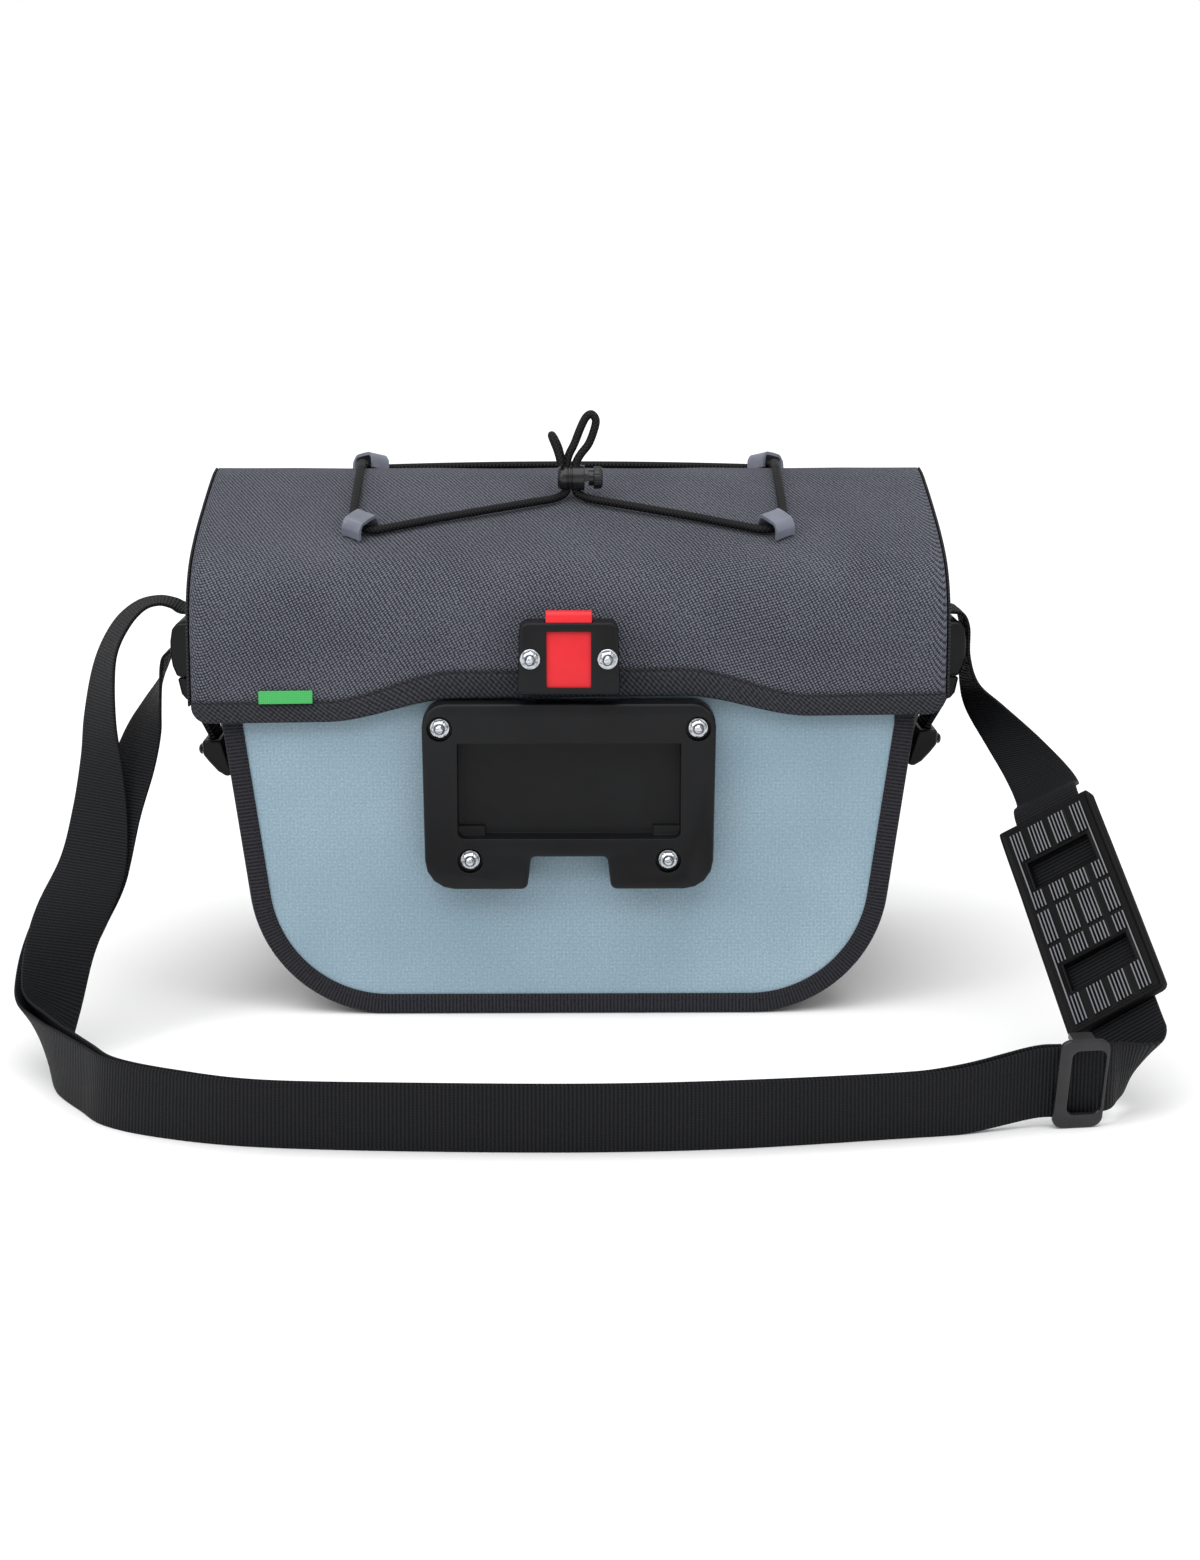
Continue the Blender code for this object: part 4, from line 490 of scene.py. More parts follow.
        ("relief", "Bump", {"Strength": 0.8, "Distance": 0.0003}, {"Height": "braid"}),
    ]),
    # Moulded rubber: black, dull in the grooves; the ribs' tops carry a painted highlight in grey and are
    # a little polished.
    # The piece's own map says how high on a rib a point is.
    "rubber": makeMaterial("mouldedRubberBlack", "place.Object", {
        "Specular IOR Level": 0.15}, [
        ("rib", "SeparateXYZ", {}, {0: "cloth"}),
        ("cloud", "TexNoise", {"Scale": 90.0, "Detail": 3.0, "Roughness": 0.6}),
        ("grain", "TexNoise", {"Scale": 1900.0, "Detail": 2.0, "Roughness": 0.6}),
        # rib height with a little cloud: where it is high, the tint paints a grey highlight on the rib
        # tops
        ("rubbed", "Math", {"operation": "MULTIPLY_ADD", 1: 0.25}, {0: "cloud", 2: "rib"}),
        ("tint", "ValToRGB", {"stops": [(0.12, "#050506"), (0.75, "#0E0E10"), (1.0, "#77787C")]},
         {0: "rubbed"}),
        ("rough", "MapRange", {"To Min": 0.6, "To Max": 0.4}, {"Value": "rib"}),
        ("relief", "Bump", {"Strength": 0.3, "Distance": 0.00005}, {"Height": "grain"}),
    ]),
    # Woven polyester tag, green: threads 0.7 and 0.6 mm apart
    "label": makeMaterial("wovenTagGreen", "place.Object", {
        "Roughness": 0.7, "Specular IOR Level": 0.2}, [
        ("warp", "TexWave", {"Scale": bands(0.0007)}),
        ("weft", "TexWave", {"bands_direction": "Z", "Scale": bands(0.0006)}),
        ("weave", "Math", {"operation": "MULTIPLY"}, {0: "warp", 1: "weft"}),
        ("tint", "ValToRGB", {"stops": [(0.0, "#3C9E52"), (0.9, "#5CC070")]}, {0: "weave"}),
        ("relief", "Bump", {"Strength": 0.5, "Distance": 0.0001}, {"Height": "weave"}),
    ]),
    # Bonded polyester sewing thread: dark, twisted, with a slight shine
    "thread": makeMaterial("bondedSewingThread", "cloth", {
        "Roughness": 0.5, "Specular IOR Level": 0.3}, [
        ("twist", "TexWave", {"bands_direction": "DIAGONAL", "Scale": bands(0.0004)}),
        ("tint", "ValToRGB", {"stops": [(0.0, "#0C0C0D"), (1.0, "#26262A")]}, {0: "twist"}),
    ]),
}
print("materials:", len(finish))

gap = 0.0003

lid = {
    "halfWidth": 0.1335, "crownHalfWidth": 0.13175,
    "front": -0.0050, "depth": 0.1600,
    "shoulder": 0.1400, "rise": 0.0520,
    "wall": 0.0022,
    "endHeight": 0.1095, "lift": 0.0078, "liftInner": 0.0400, "liftOuter": 0.0860,
    "skew": 0.0015, "corner": 0.0060,
    # share of half the depth, share of the rise
    "arch": [(0.0, 0.0), (0.015, 0.173), (0.050, 0.317), (0.100, 0.423), (0.165, 0.506), (0.275, 0.602),
             (0.390, 0.684), (0.520, 0.765), (0.650, 0.842), (0.775, 0.912), (0.890, 0.970), (1.0, 1.0)],
    "hemWidth": 0.0078, "hemExtra": 0.0024, "hemWall": 0.0010, "seamIn": 0.62, "seamUp": 0.893,
    "tapeWidth": 0.0070, "tapeWall": 0.0008,
    "stitch": 0.0026, "stitchPitch": 0.0034, "threadRadius": 0.00022,
}
lidMiddle = lid["front"] + lid["depth"] / 2


def archLine(steps=6):
    # front half of the arch through the table, then its mirror image behind
    half = splineThrough(lid["arch"], steps)
    back = np.concatenate([half[:, 0], 2 - half[-2::-1, 0]])
    up = np.concatenate([half[:, 1], half[-2::-1, 1]])
    return lid["front"] + back * lid["depth"] / 2, lid["shoulder"] + up * lid["rise"]


def lidHeight(y):
    # the CAD lid's own height, in straight spans
    table = np.array(lid["arch"])
    share = 1 - np.minimum(np.abs(y - lidMiddle) / (lid["depth"] / 2), 1.0)
    return lid["shoulder"] + lid["rise"] * np.interp(share, table[:, 0], table[:, 1])


def lidHalfWidth(z):
    # narrower towards the crown, by the square of the height's share
    share = np.clip((z - lid["shoulder"]) / lid["rise"], 0, 1)
    return lid["halfWidth"] - share ** 2 * (lid["halfWidth"] - lid["crownHalfWidth"])


def hemLift(x):
    # smooth step from the level ends to the raised middle: 1 - t t (3 - 2 t)
    t = np.clip((np.abs(x) - lid["liftInner"]) / (lid["liftOuter"] - lid["liftInner"]), 0, 1)
    return 1 - t * t * (3 - 2 * t)


def hemSkew(x):
    # the hem stands a little higher at its right end
    return lid["skew"] * x / lid["halfWidth"]


def hemLow(x, lift=1.0):
    # lower edge: level, raised smoothly round the latch, with quarter circles at its ends
    into = np.clip(np.abs(x) - (lid["halfWidth"] - lid["corner"]), 0, lid["corner"])
    corner = lid["corner"] - np.sqrt(np.maximum(lid["corner"] ** 2 - into ** 2, 0))
    return lid["endHeight"] + lift * lid["lift"] * hemLift(x) + hemSkew(x) + corner


def hemHigh(x, lift):
    return (lid["endHeight"] + lid["hemWidth"] + lift * (lid["lift"] + lid["hemExtra"]) * hemLift(x)
            + hemSkew(x))


def addLid():
    # cloth carried over the arch: rows across the lid, columns up the front, over and down the back
    archY, archZ = archLine()
    share = np.sin(np.linspace(-pi / 2, pi / 2, 121))
    rise = np.linspace(0, 1, 9)[:-1]
    low = hemLow(share * lid["halfWidth"])[:, None]
    frontZ = low + (lid["shoulder"] - low) * rise
    z = np.concatenate([frontZ, np.broadcast_to(archZ, (len(share), len(archZ))),
                        (lid["endHeight"] + lid["skew"] * share[:, None]
                         + (lid["shoulder"] - lid["endHeight"]) * rise[::-1])], 1)
    y = np.concatenate([np.full(len(rise), lid["front"]), archY,
                        np.full(len(rise), lid["front"] + lid["depth"])])
    y = np.broadcast_to(y, z.shape)
    x = share[:, None] * lidHalfWidth(z)
    # soft unevenness of the stiffened cloth, only where the arch is
    sag = 0.0006 * np.sin(share * 8.0)[:, None] * np.sin(z * 95.0) * (1 - share[:, None] ** 2)
    above = np.clip((z - lid["shoulder"] - 0.004) / 0.012, 0, 1)
    points = np.stack([x, y, z - np.abs(sag) * above], -1)
    down = np.concatenate([np.zeros((len(share), 1)),
                           np.cumsum(np.hypot(np.diff(y, axis=1), np.diff(z, axis=1)), 1)], 1)
    uv = np.stack([x, down], -1)
    top = gridSurface("lidCloth", points, uv)
    ends = []
    columns = points.shape[1]
    half = (columns - 1) // 2
    across = np.linspace(0, 1, 15)
    for row in (0, -1):
        front, back = points[row, :half + 1], points[row, ::-1][:half + 1]
        wallPoints = front[:, None] + (back - front)[:, None] * across[None, :, None]
        ends.append(gridSurface("lidEnd", wallPoints, wallPoints[..., 1:]))
    cloth = joinMeshes("lidCloth", [top] + ends)
    facingOut(cloth)
    crown = max(cloth.polygons, key=lambda face: face.center.z)
    if crown.normal.z < 0:
        cloth.flip_normals()
    piece = addPiece("lidCloth", cloth, "grey_fabric", ("lid_shell",), out=False)
    wall = piece.modifiers.new("wall", "SOLIDIFY")
    wall.thickness, wall.offset, wall.use_rim = lid["wall"], -1.0, True


def stitchRow(name, line, normal):
    # one short round-ended thread for each stitch along the line, half sunk in the cloth
    along = lengthsAlong(line)
    count = int(along[-1] / lid["stitchPitch"])
    starts = np.arange(count) * lid["stitchPitch"] + (along[-1] - count * lid["stitchPitch"]) / 2
    share = np.linspace(0, 1, 7)
    at = starts[:, None] + share[None] * lid["stitch"]
    spine = readAlong(at, along, line)
    ahead = unit(spine[:, -1] - spine[:, 0])[:, None, None]
    normal = np.broadcast_to(unit(np.array(normal, float)), ahead.shape)
    side = np.cross(ahead, normal)
    radius = lid["threadRadius"] * np.sqrt(np.maximum(1 - (2 * share - 1) ** 4, 0.0))[None, :, None, None]
    turn = np.linspace(0, 2 * pi, 8, endpoint=False)[None, None, :, None]
    bulge = normal * lid["threadRadius"] * 0.7 * np.sin(pi * share)[None, :, None, None]
    points = spine[:, :, None] + bulge + radius * (np.cos(turn) * side + np.sin(turn) * normal)
    uv = np.stack(np.broadcast_arrays(at[:, :, None], np.linspace(0, 0.001, 9)[None, None]), -1)
    meshes = [gridSurface(name, points[i], uv[i], wrap=True) for i in range(count)]
    addPiece(name, joinMeshes(name, meshes, weld=0.000001), ("tape", "thread"))


def addHems():
    # folded hem: a closed section of 1 mm, rounded below and above, from end to end of the lid
    for name, node, face, side, lift in (
            ("hemFront", "lid_hem_front", lid["front"] - gap, -1, 1.0),
            ("hemRear", "lid_hem_rear", lid["front"] + lid["depth"] + gap, 1, 0.0)):
        share = np.sin(np.linspace(-pi / 2, pi / 2, 161))
        x = share * lid["halfWidth"]
        low, high = hemLow(x, lift), hemHigh(x, lift)
        up = np.array([0.0, 0.02, 0.06, 0.15, 0.3, 0.5, 0.7, 0.84, 0.88, 0.905, 0.94, 0.985, 1.0])
        out = np.array([0.45, 0.8, 0.97, 1.05, 1.1, 1.1, 1.05, 0.95, 0.62, 0.62, 0.9, 0.8, 0.45])
        section = np.stack([np.concatenate([up, up[::-2] * 0.96 + 0.02]),
                            np.concatenate([out, np.zeros(len(up[::-2]))])], 1)
        z = low[:, None] + (high - low)[:, None] * section[None, :, 0]
        y = face + side * lid["hemWall"] * section[:, 1]
        points = np.stack(np.broadcast_arrays(x[:, None], y[None], z), -1)
        uv = crossed(x, lengthsAlong(section * (lid["hemWidth"], lid["hemWall"]), closed=True))
        addBand(name, points, uv, ("tape", "hem"), node, 60)
        inside = np.abs(x) < lid["halfWidth"] - lid["corner"] - 0.001
        seam = np.stack([x, np.full(len(x), face + side * lid["hemWall"] * lid["seamIn"]),
                         low + (high - low) * lid["seamUp"]], 1)
        stitchRow(name + "Stitches", seam[inside], (0, side, 0))


def addEndTapes():
    # binding folded over the lid's end seams: a thin rounded band that follows the arch
    archY, archZ = archLine()
    for name, node, side in (("endTapeLeft", "lid_end_tape_left", -1),
                             ("endTapeRight", "lid_end_tape_right", 1)):
        low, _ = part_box(node)
        foot = low[2] + lid["tapeWidth"] * 0.02
        rise = np.linspace(foot, lid["shoulder"], 10)[:-1]
        z = np.concatenate([rise, archZ, rise[::-1]])
        y = np.concatenate([np.full(len(rise), lid["front"]), archY,
                            np.full(len(rise), lid["front"] + lid["depth"])])
        inward = np.stack([lidMiddle - y, lid["shoulder"] - lid["rise"] * 0.3 - z], 1)
        inward[z <= lid["shoulder"], 1] = 0.0
        inward = unit(inward)
        x = side * (lidHalfWidth(z) + 2 * gap)
        # across the tape and out from the end wall, in shares of its width and wall
        section = np.array([(0.0, 0.0), (-0.02, 0.5), (0.03, 0.9), (0.1, 1.0), (0.5, 1.0), (0.86, 1.0),
                            (0.95, 0.85), (1.0, 0.4), (1.0, 0.0), (0.5, 0.0)])
        into = section[:, 0] * lid["tapeWidth"]
        points = np.stack(np.broadcast_arrays(
            x[:, None] + side * lid["tapeWall"] * section[None, :, 1],
            y[:, None] + inward[:, :1] * into, z[:, None] + inward[:, 1:] * into), -1)
        uv = crossed(lengthsAlong(np.stack([y, z], 1)),
                     lengthsAlong(section * (lid["tapeWidth"], lid["tapeWall"]), closed=True))
        addBand(name, points, uv, "tape", node, 60)


addLid()
addHems()
addEndTapes()
roundedSolid("hemTag", "hem_label", "label", 0.0002, 2)
print("lid")

body = {
    "baseHalf": 0.1090, "half": 0.1235, "shoulder": 0.1060, "top": 0.1480,
    "depth": 0.1400, "corner": 0.0500,
    "bindingWall": 0.0012, "bindingFace": 0.0074, "bindingSide": 0.0055,
    "bulge": 0.0070, "gussetWall": 0.0018,
    # folded tape's section, inward from the outline and out from the panel's face
    "fold": [(0.0, 0.0055), (0.0, 0.0040), (0.0, 0.0008), (0.0003, -0.0004), (0.0010, -0.0012),
             (0.0022, -0.00145), (0.0050, -0.0014), (0.0066, -0.0013), (0.0073, -0.0008)],
}
bodySlope = (body["half"] - body["baseHalf"]) / body["shoulder"]


def bodyOutline(inset):
    # from the left mouth round the foot to the right mouth: upright, sloping, quarter round, level
    tilt = atan(bodySlope)
    radius = body["corner"] - inset
    centre = body["baseHalf"] + body["corner"] * bodySlope - body["corner"] / cos(tilt)
    turn = np.linspace(-pi / 2, -tilt, 41)
    arc = np.stack([centre + radius * np.cos(turn), body["corner"] + radius * np.sin(turn)], 1)
    level = np.stack([np.linspace(0, centre, 30)[:-1], np.full(29, inset)], 1)
    high = np.array([body["half"] - inset, body["shoulder"]])
    slope = arc[-1] + (high - arc[-1]) * np.linspace(0, 1, 16)[1:, None]
    upright = np.stack([np.full(8, high[0]), np.linspace(high[1], body["top"], 9)[1:]], 1)
    half = np.vstack([level, arc, slope, upright])
    return np.vstack([half[:0:-1] * (-1, 1), half])


def gussetBulge(y, z):
    # fullest halfway back, and none at the seams: (1 - share^4), growing with the height cubed
    start, end = body["bindingSide"] + gap, body["depth"] - body["bindingSide"] - gap
    share = np.clip((y - start) / (end - start), 0, 1) * 2 - 1
    rising = np.clip(z / body["shoulder"], 0, 1) ** 3
    return (body["bulge"] + body["bindingWall"] + gap) * rising * (1 - share ** 4)


def addGusset():
    outline = bodyOutline(body["bindingWall"] + gap)
    y = np.linspace(0.0024, body["depth"] - 0.0024, 61)[:, None]
    x, z = outline[None, :, 0], outline[None, :, 1]
    swell = gussetBulge(y, z) * 0.97
    along = lengthsAlong(outline)
    points = np.stack(np.broadcast_arrays(x + np.sign(x) * swell, y, z), -1)
    uv = np.stack(np.broadcast_arrays(along[None, :], y), -1)
    mesh = facingOut(gridSurface("gussetBand", points, uv))
    foot = min(mesh.polygons, key=lambda face: face.center.z)
    if foot.normal.z > 0:
        mesh.flip_normals()
    piece = addPiece("gussetBand", mesh, "dark_fabric", ("gusset",), out=False)
    wall = piece.modifiers.new("wall", "SOLIDIFY")
    wall.thickness, wall.offset = body["gussetWall"] - 0.0002, -1.0


def addBindings():
    # folded tape: a U of rounded section, carried round the outline
    wall = body["bindingWall"]
    outline = bodyOutline(0.0)
    tangent = unit(np.gradient(outline, axis=0))
    inward = np.stack([-tangent[:, 1], tangent[:, 0]], 1)
    for name, node, face, side in (("bindingFront", "front_binding", 0.0, 1),
                                   ("bindingRear", "rear_binding", body["depth"], -1)):
        section = np.array(body["fold"] + [(body["bindingFace"], -gap), (wall, -gap), (wall, 0.0055)])
        flat = outline[:, None] + inward[:, None] * section[None, :, :1]
        depth = face + side * section[:, 1]
        points = np.stack(np.broadcast_arrays(flat[..., 0], depth[None, :], flat[..., 1]), -1)
        uv = crossed(lengthsAlong(outline), lengthsAlong(section, closed=True))
        addBand(name, points, uv, "tape", node)
        seam = outline + inward * (body["bindingFace"] - 0.0016)
        seam = np.stack([seam[:, 0], np.full(len(seam), face - side * 0.00136), seam[:, 1]], 1)
        stitchRow(name + "Stitches", seam[3:-3], (0, -side, 0))


addGusset()
addBindings()
for node in ("front_panel", "rear_panel"):
    frame["nodes"][node].data.materials[0] = finish["blue_fabric"]
print("body")

fastener = {
    "flats": 0.0055, "thread": 0.00165, "pitch": 0.0007, "threadDeep": 0.00022, "washerHole": 0.0018,
    "point": 0.0006, "headHigh": 0.0014,
    # each nut stands turned by its own angle, in degrees
    "turned": {"plate_1": 8, "plate_2": 21, "plate_3": 14, "plate_4": 2, "latch_1": 25, "latch_2": 11},
}


def nutShape(thick):
    # hexagon: the radius at each angle is the flat's distance over the cosine from its middle
    half, bore = fastener["flats"] / 2, fastener["thread"]

    def hexagon(along, radius, turn):
        flat = half / np.cos((turn % (pi / 3)) - pi / 6)
        chamfer = half * 1.155 - np.clip(along - thick * 0.72, 0, 1) * 1.5
        return np.where(radius > bore * 1.35, np.minimum(flat, chamfer), radius)

    rim = [(thick * share, half) for share in (0.0, 0.5, 0.72, 0.82, 0.92, 1.0)]
    return hexagon, ([(0.0, bore)] + rim + [(thick, bore * 1.34), (thick * 0.9, bore * 1.03),
                                            (thick * 0.5, bore), (0.0, bore)])


def boltShape(length, headRim):
    # thread: the radius less half a cosine wave that climbs one pitch a turn; above its foot, a head
    screw = min(fastener["thread"] * 0.93, headRim)
    along = np.linspace(length, 0.0, 90)
    tip = np.sqrt(np.clip((length - along) / fastener["point"], 0, 1))

    def threaded(along, radius, turn):
        wave = 0.5 + 0.5 * np.cos(2 * pi * along / fastener["pitch"] - turn)
        cut = radius - fastener["threadDeep"] * wave
        head = np.clip(1.0 - (along - fastener["headHigh"]) / 0.0002, 0, 1)
        return np.where((head > 0) & (radius > 0), np.maximum(cut, headRim * head), cut) * (radius > 0)

    return threaded, [(length, 0.0)] + list(zip(along, screw * (0.62 + 0.38 * tip))) + [(0.0, 0.0)]


def addFasteners():
    hole = fastener["washerHole"]
    for group, turned in fastener["turned"].items():
        low, high = cornersOf(group + "_nut")
        x, z = (low[0] + high[0]) / 2, (low[2] + high[2]) / 2

        def addTurnedPart(part, profile, across=(1, 0, 0), radiusAt=None, sides=48, sharp=40):
            back = cornersOf(f"{group}_{part}")[1][1]
            name = group + part.title()
            mesh = turnedMesh(name, profile, (x, back, z), (0, -1, 0), across, radiusAt, sides)
            addPiece(name, mesh, "zinc_steel", (f"{group}_{part}",), sharp=sharp)

        hexagon, profile = nutShape(high[1] - low[1])
        across = (cos(radians(turned)), 0.0, sin(radians(turned)))
        addTurnedPart("nut", profile, across, hexagon, 72, 28)

        low, high = cornersOf(group + "_washer")
        rim, thin = (high[0] - low[0]) / 2, high[1] - low[1]
        addTurnedPart("washer", [
            (0.0, hole), (0.0, rim * 0.97), (thin * 0.3, rim), (thin * 0.75, rim), (thin, rim * 0.95),
            (thin, hole * 1.05), (thin * 0.8, hole), (0.0, hole)])

        low, high = cornersOf(group + "_bolt")
        threaded, profile = boltShape(high[1] - low[1], (high[0] - low[0]) / 2)
        addTurnedPart("bolt", profile, radiusAt=threaded, sides=32)


roundedSolid("mountPlate", "mount_plate", "plastic", 0.0007)
roundedSolid("latchHousing", "latch_housing", "plastic", 0.0008)
roundedSolid("releaseButton", "release_button", "red_plastic", 0.0006, body="button")
addFasteners()
print("mounting side")

cord = {
    "size": 0.0030, "spacing": 0.1556, "front": 0.0160, "rear": 0.0900, "bow": 0.0014, "turn": 0.0080,
    "lockX": 0.0010, "lockY": 0.0425, "lockLift": 0.0088, "barrel": 0.0092,
    # loop above the lock: sideways, back and up from the lock's axis, in cord diameters
    "bight": [(0.55, 0.0, 0.0), (0.55, 0.0, 1.6), (1.15, 0.1, 2.8), (2.15, 0.3, 4.1), (2.85, 0.5, 5.9),
              (3.00, 0.55, 7.0), (2.50, 0.6, 7.65), (1.85, 0.6, 7.3), (1.20, 0.5, 6.1), (0.40, 0.3, 4.1),
              (-0.25, 0.1, 2.8), (-0.55, 0.0, 1.6), (-0.55, 0.0, 0.0)],
    "pull": [(-1.30, -0.90, 1.66), (-1.38, -0.90, 2.4), (-1.75, -0.75, 3.6), (-2.20, -0.50, 4.7),
             (-2.35, 0.10, 5.15), (-2.05, 0.60, 4.7), (-1.55, 0.80, 3.6), (-1.25, 0.90, 2.4),
             (-1.25, 0.90, 1.66)],
}
tab = {"length": 0.0080, "inside": 0.0090, "wall": 0.0012}


def lidSlope(y):
    # the lid's angle front to back, over one cord's width
    return np.arctan2(lidHeight(y + cord["size"] / 2) - lidHeight(y - cord["size"] / 2), cord["size"])


def lidPoint(x, y, above):
    # point at a distance above the lid, square to its surface
    slope = lidSlope(y)
    return np.stack([x, y - np.sin(slope) * above, lidHeight(y) + np.cos(slope) * above], -1)


def roundCorner(corner, before, after, steps):
    # arc of the turning radius between the two straight runs that meet in the corner
    corner, before, after = (np.array(p, float) for p in (corner, before, after))
    back, ahead = unit(before - corner), unit(after - corner)
    half = np.arccos(np.clip(back @ ahead, -1, 1)) / 2
    middle = corner + unit(back + ahead) * cord["turn"] / sin(half)
    start = corner + back * cord["turn"] / tan(half) - middle
    end = corner + ahead * cord["turn"] / tan(half) - middle
    sweep = pi - 2 * half
    share = np.linspace(0, 1, steps + 1)[:, None]
    return middle + (np.sin((1 - share) * sweep) * start + np.sin(share * sweep) * end) / sin(sweep)


def cordTurns(steps=4):
    half, strand = cord["spacing"] / 2, cord["size"] * 0.55
    stops = [(cord["lockX"] + strand, cord["lockY"]), (half, cord["front"]), (half, cord["rear"]),
             (-half, cord["rear"]), (-half, cord["front"]), (cord["lockX"] - strand, cord["lockY"])]
    return [roundCorner(corner, before, after, steps)
            for before, corner, after in zip(stops, stops[1:], stops[2:])]


def lockPoint(table):
    axis = np.array((cord["lockX"], cord["lockY"], float(lidHeight(cord["lockY"])) + cord["lockLift"]))
    return axis + np.array(table) * cord["size"]


def addCords():
    # endless loop: under the four tabs, up through the lock, round the bight and down again
    size, rise, strand = cord["size"], cord["size"] / 2 + 2 * gap, cord["size"] * 0.55
    left, right = cord["lockX"] - strand, cord["lockX"] + strand
    plan = np.vstack([[(right, cord["lockY"])]] + cordTurns(8) + [[(left, cord["lockY"])]])
    along = lengthsAlong(plan)
    plan = readAlong(np.arange(0, along[-1], 0.0035), along, plan)
    away = np.clip(np.abs(plan[:, 1] - cord["rear"]) / (2 * size), 0, 1)
    bow = cord["bow"] * (1 - away) * np.maximum(0, 1 - (2 * plan[:, 0] / cord["spacing"]) ** 2)
    low = lidPoint(plan[:, 0], plan[:, 1], rise + bow)
    low = low[np.hypot(plan[:, 0] - cord["lockX"], plan[:, 1] - cord["lockY"]) > 1.6 * size + strand]
    foot = float(lidHeight(cord["lockY"])) + cord["lockLift"] - cord["barrel"] / 2
    y = np.array(cord["lockY"])
    rising = np.vstack([lidPoint(np.array(left - 0.8 * size), y, rise * 1.1), (left, cord["lockY"], foot),
                        lockPoint(cord["bight"])[::-1], (right, cord["lockY"], foot),
                        lidPoint(np.array(right + 0.8 * size), y, rise * 1.1)])
    route = splineThrough(np.vstack([rising, low]), 5, closed=True)
    points, uv = roundTube(route, size / 2, 16, (0.03, 1.0, 0.02), closed=True)
    loop = joinMeshes("elasticLoop", [gridSurface("elasticLoop", points, uv, wrap=True)])
    addPiece("elasticLoop", loop, "elastic", ("elastic_cord",))
    pull = splineThrough(lockPoint(cord["pull"]), 6)
    points, uv = roundTube(pull, size / 2, 16, (1.0, 0.2, 0.1))
    addBand("pullLoop", points, uv, "elastic", "lock_pull_loop")


def addTabs():
    # sleeve: an arch of rounded section, its ends a little flared and rolled
    height, width, wall = cord["size"] + 7 * gap, tab["inside"] / 2, tab["wall"]
    outer = np.array([(-width - wall, 0.0), (-width - wall, height * 0.45),
                      (-width - wall * 0.8, height * 0.78), (-width * 0.93, height + wall * 0.55),
                      (-width * 0.72, height + wall), (0.0, height + wall * 1.12)])
    inner = np.array([(width, 0.0), (width, height * 0.5), (width * 0.92, height * 0.84),
                      (width * 0.72, height), (0.0, height * 1.02)])
    outer = np.vstack([outer, outer[-2::-1] * (-1, 1)])
    inner = np.vstack([inner, inner[-2::-1] * (-1, 1)])
    section = np.vstack([outer, inner])
    run = np.linspace(-0.5, 0.5, 11) * tab["length"]
    flare = 1 + 0.05 * (2 * run / tab["length"]) ** 4
    names = ("front_right", "rear_right", "rear_left", "front_left")
    for name, turn in zip(names, cordTurns()):
        heading = atan2(*(turn[3] - turn[1])[::-1])
        x, y = turn[2]
        slope = float(lidSlope(y))
        ahead = np.array((cos(heading), sin(heading) * cos(slope), sin(heading) * sin(slope)))
        up = np.array((0.0, -sin(slope), cos(slope)))
        side = np.cross(up, ahead)
        seat = lidPoint(np.array(x), np.array(y), gap + wall * 0.25)
        points = (seat + run[:, None, None] * ahead + (section[None, :, :1] * flare[:, None, None]) * side
                  + section[None, :, 1:] * up)
        uv = crossed(run, lengthsAlong(section, closed=True))
        label = "cordTab" + name.title().replace("_", "")
        addBand(label, points, uv, "tab_plastic", "cord_tab_" + name, 35)


lock = {
    # barrel: shares of its length where its rings are, and of its radius inside
    "rings": (0.34, 0.48), "ringWidth": 0.0008, "ringDepth": 0.93, "bore": 0.68, "boreDeep": 0.0040,
    # knob: a short round stem, with two cheeks that pass the cord on both sides when it is pressed
    "head": 0.0034, "stem": 0.0030, "neck": 0.0018, "foot": 0.0041, "ribs": 22, "ribDepth": 0.035,
    "cheekInner": 0.00195, "cheekOuter": 0.00285, "cheekTall": 0.0012,
}


def addTurned(name, node, profileOf, body="bag", radiusAt=None, extras=()):
    # a piece of the lock, turned about the bag's own x; profileOf works from its ends and its radius
    low, high = cornersOf(node)
    centre = np.array((0.0, (low[1] + high[1]) / 2, (low[2] + high[2]) / 2))
    radius = (high[2] - low[2]) / 2
    mesh = turnedMesh(name, profileOf(low[0], high[0], radius), centre, (1, 0, 0), (0, 0, 1),
                      radiusAt and radiusAt(radius), 88)
    boxes = [boxMesh(name, corner, other, lambda spot: spot + centre) for corner, other in extras]
    addPiece(name, joinMeshes(name, [mesh] + boxes), ("plastic", "glossPlastic"), (node,), body=body,
             sharp=32)


def barrelProfile(low, high, radius):
    profile = [(low, 0.0), (low, radius * 0.72), (low + 0.0005, radius * 0.86),
               (low + 0.0014, radius * 0.97), (low + 0.0022, radius)]
    for share in lock["rings"]:
        at, wide = low + (high - low) * share, lock["ringWidth"]
        profile += [(at, radius), (at + wide / 4, radius * lock["ringDepth"]),
                    (at + wide * 0.75, radius * lock["ringDepth"]), (at + wide, radius)]
    bore, floor = radius * lock["bore"], high - lock["boreDeep"]
    return profile + [(high - 0.0003, radius), (high, radius * 0.95), (high, radius * 0.72),
                      (high - 0.0006, bore), (floor, bore), (floor, 0.0)]


def knobProfile(low, high, radius):
    head, stem, start = lock["head"], lock["stem"], high - lock["head"]
    neck = start - lock["neck"]
    return [(neck, 0.0), (neck, stem), (start, stem), (start, radius * 0.93),
            (start + 0.0003, radius), (start + head * 0.55, radius), (start + head * 0.85, radius * 0.93),
            (start + head * 0.97, radius * 0.8), (high, radius * 0.5), (high - 0.0002, 0.0)]


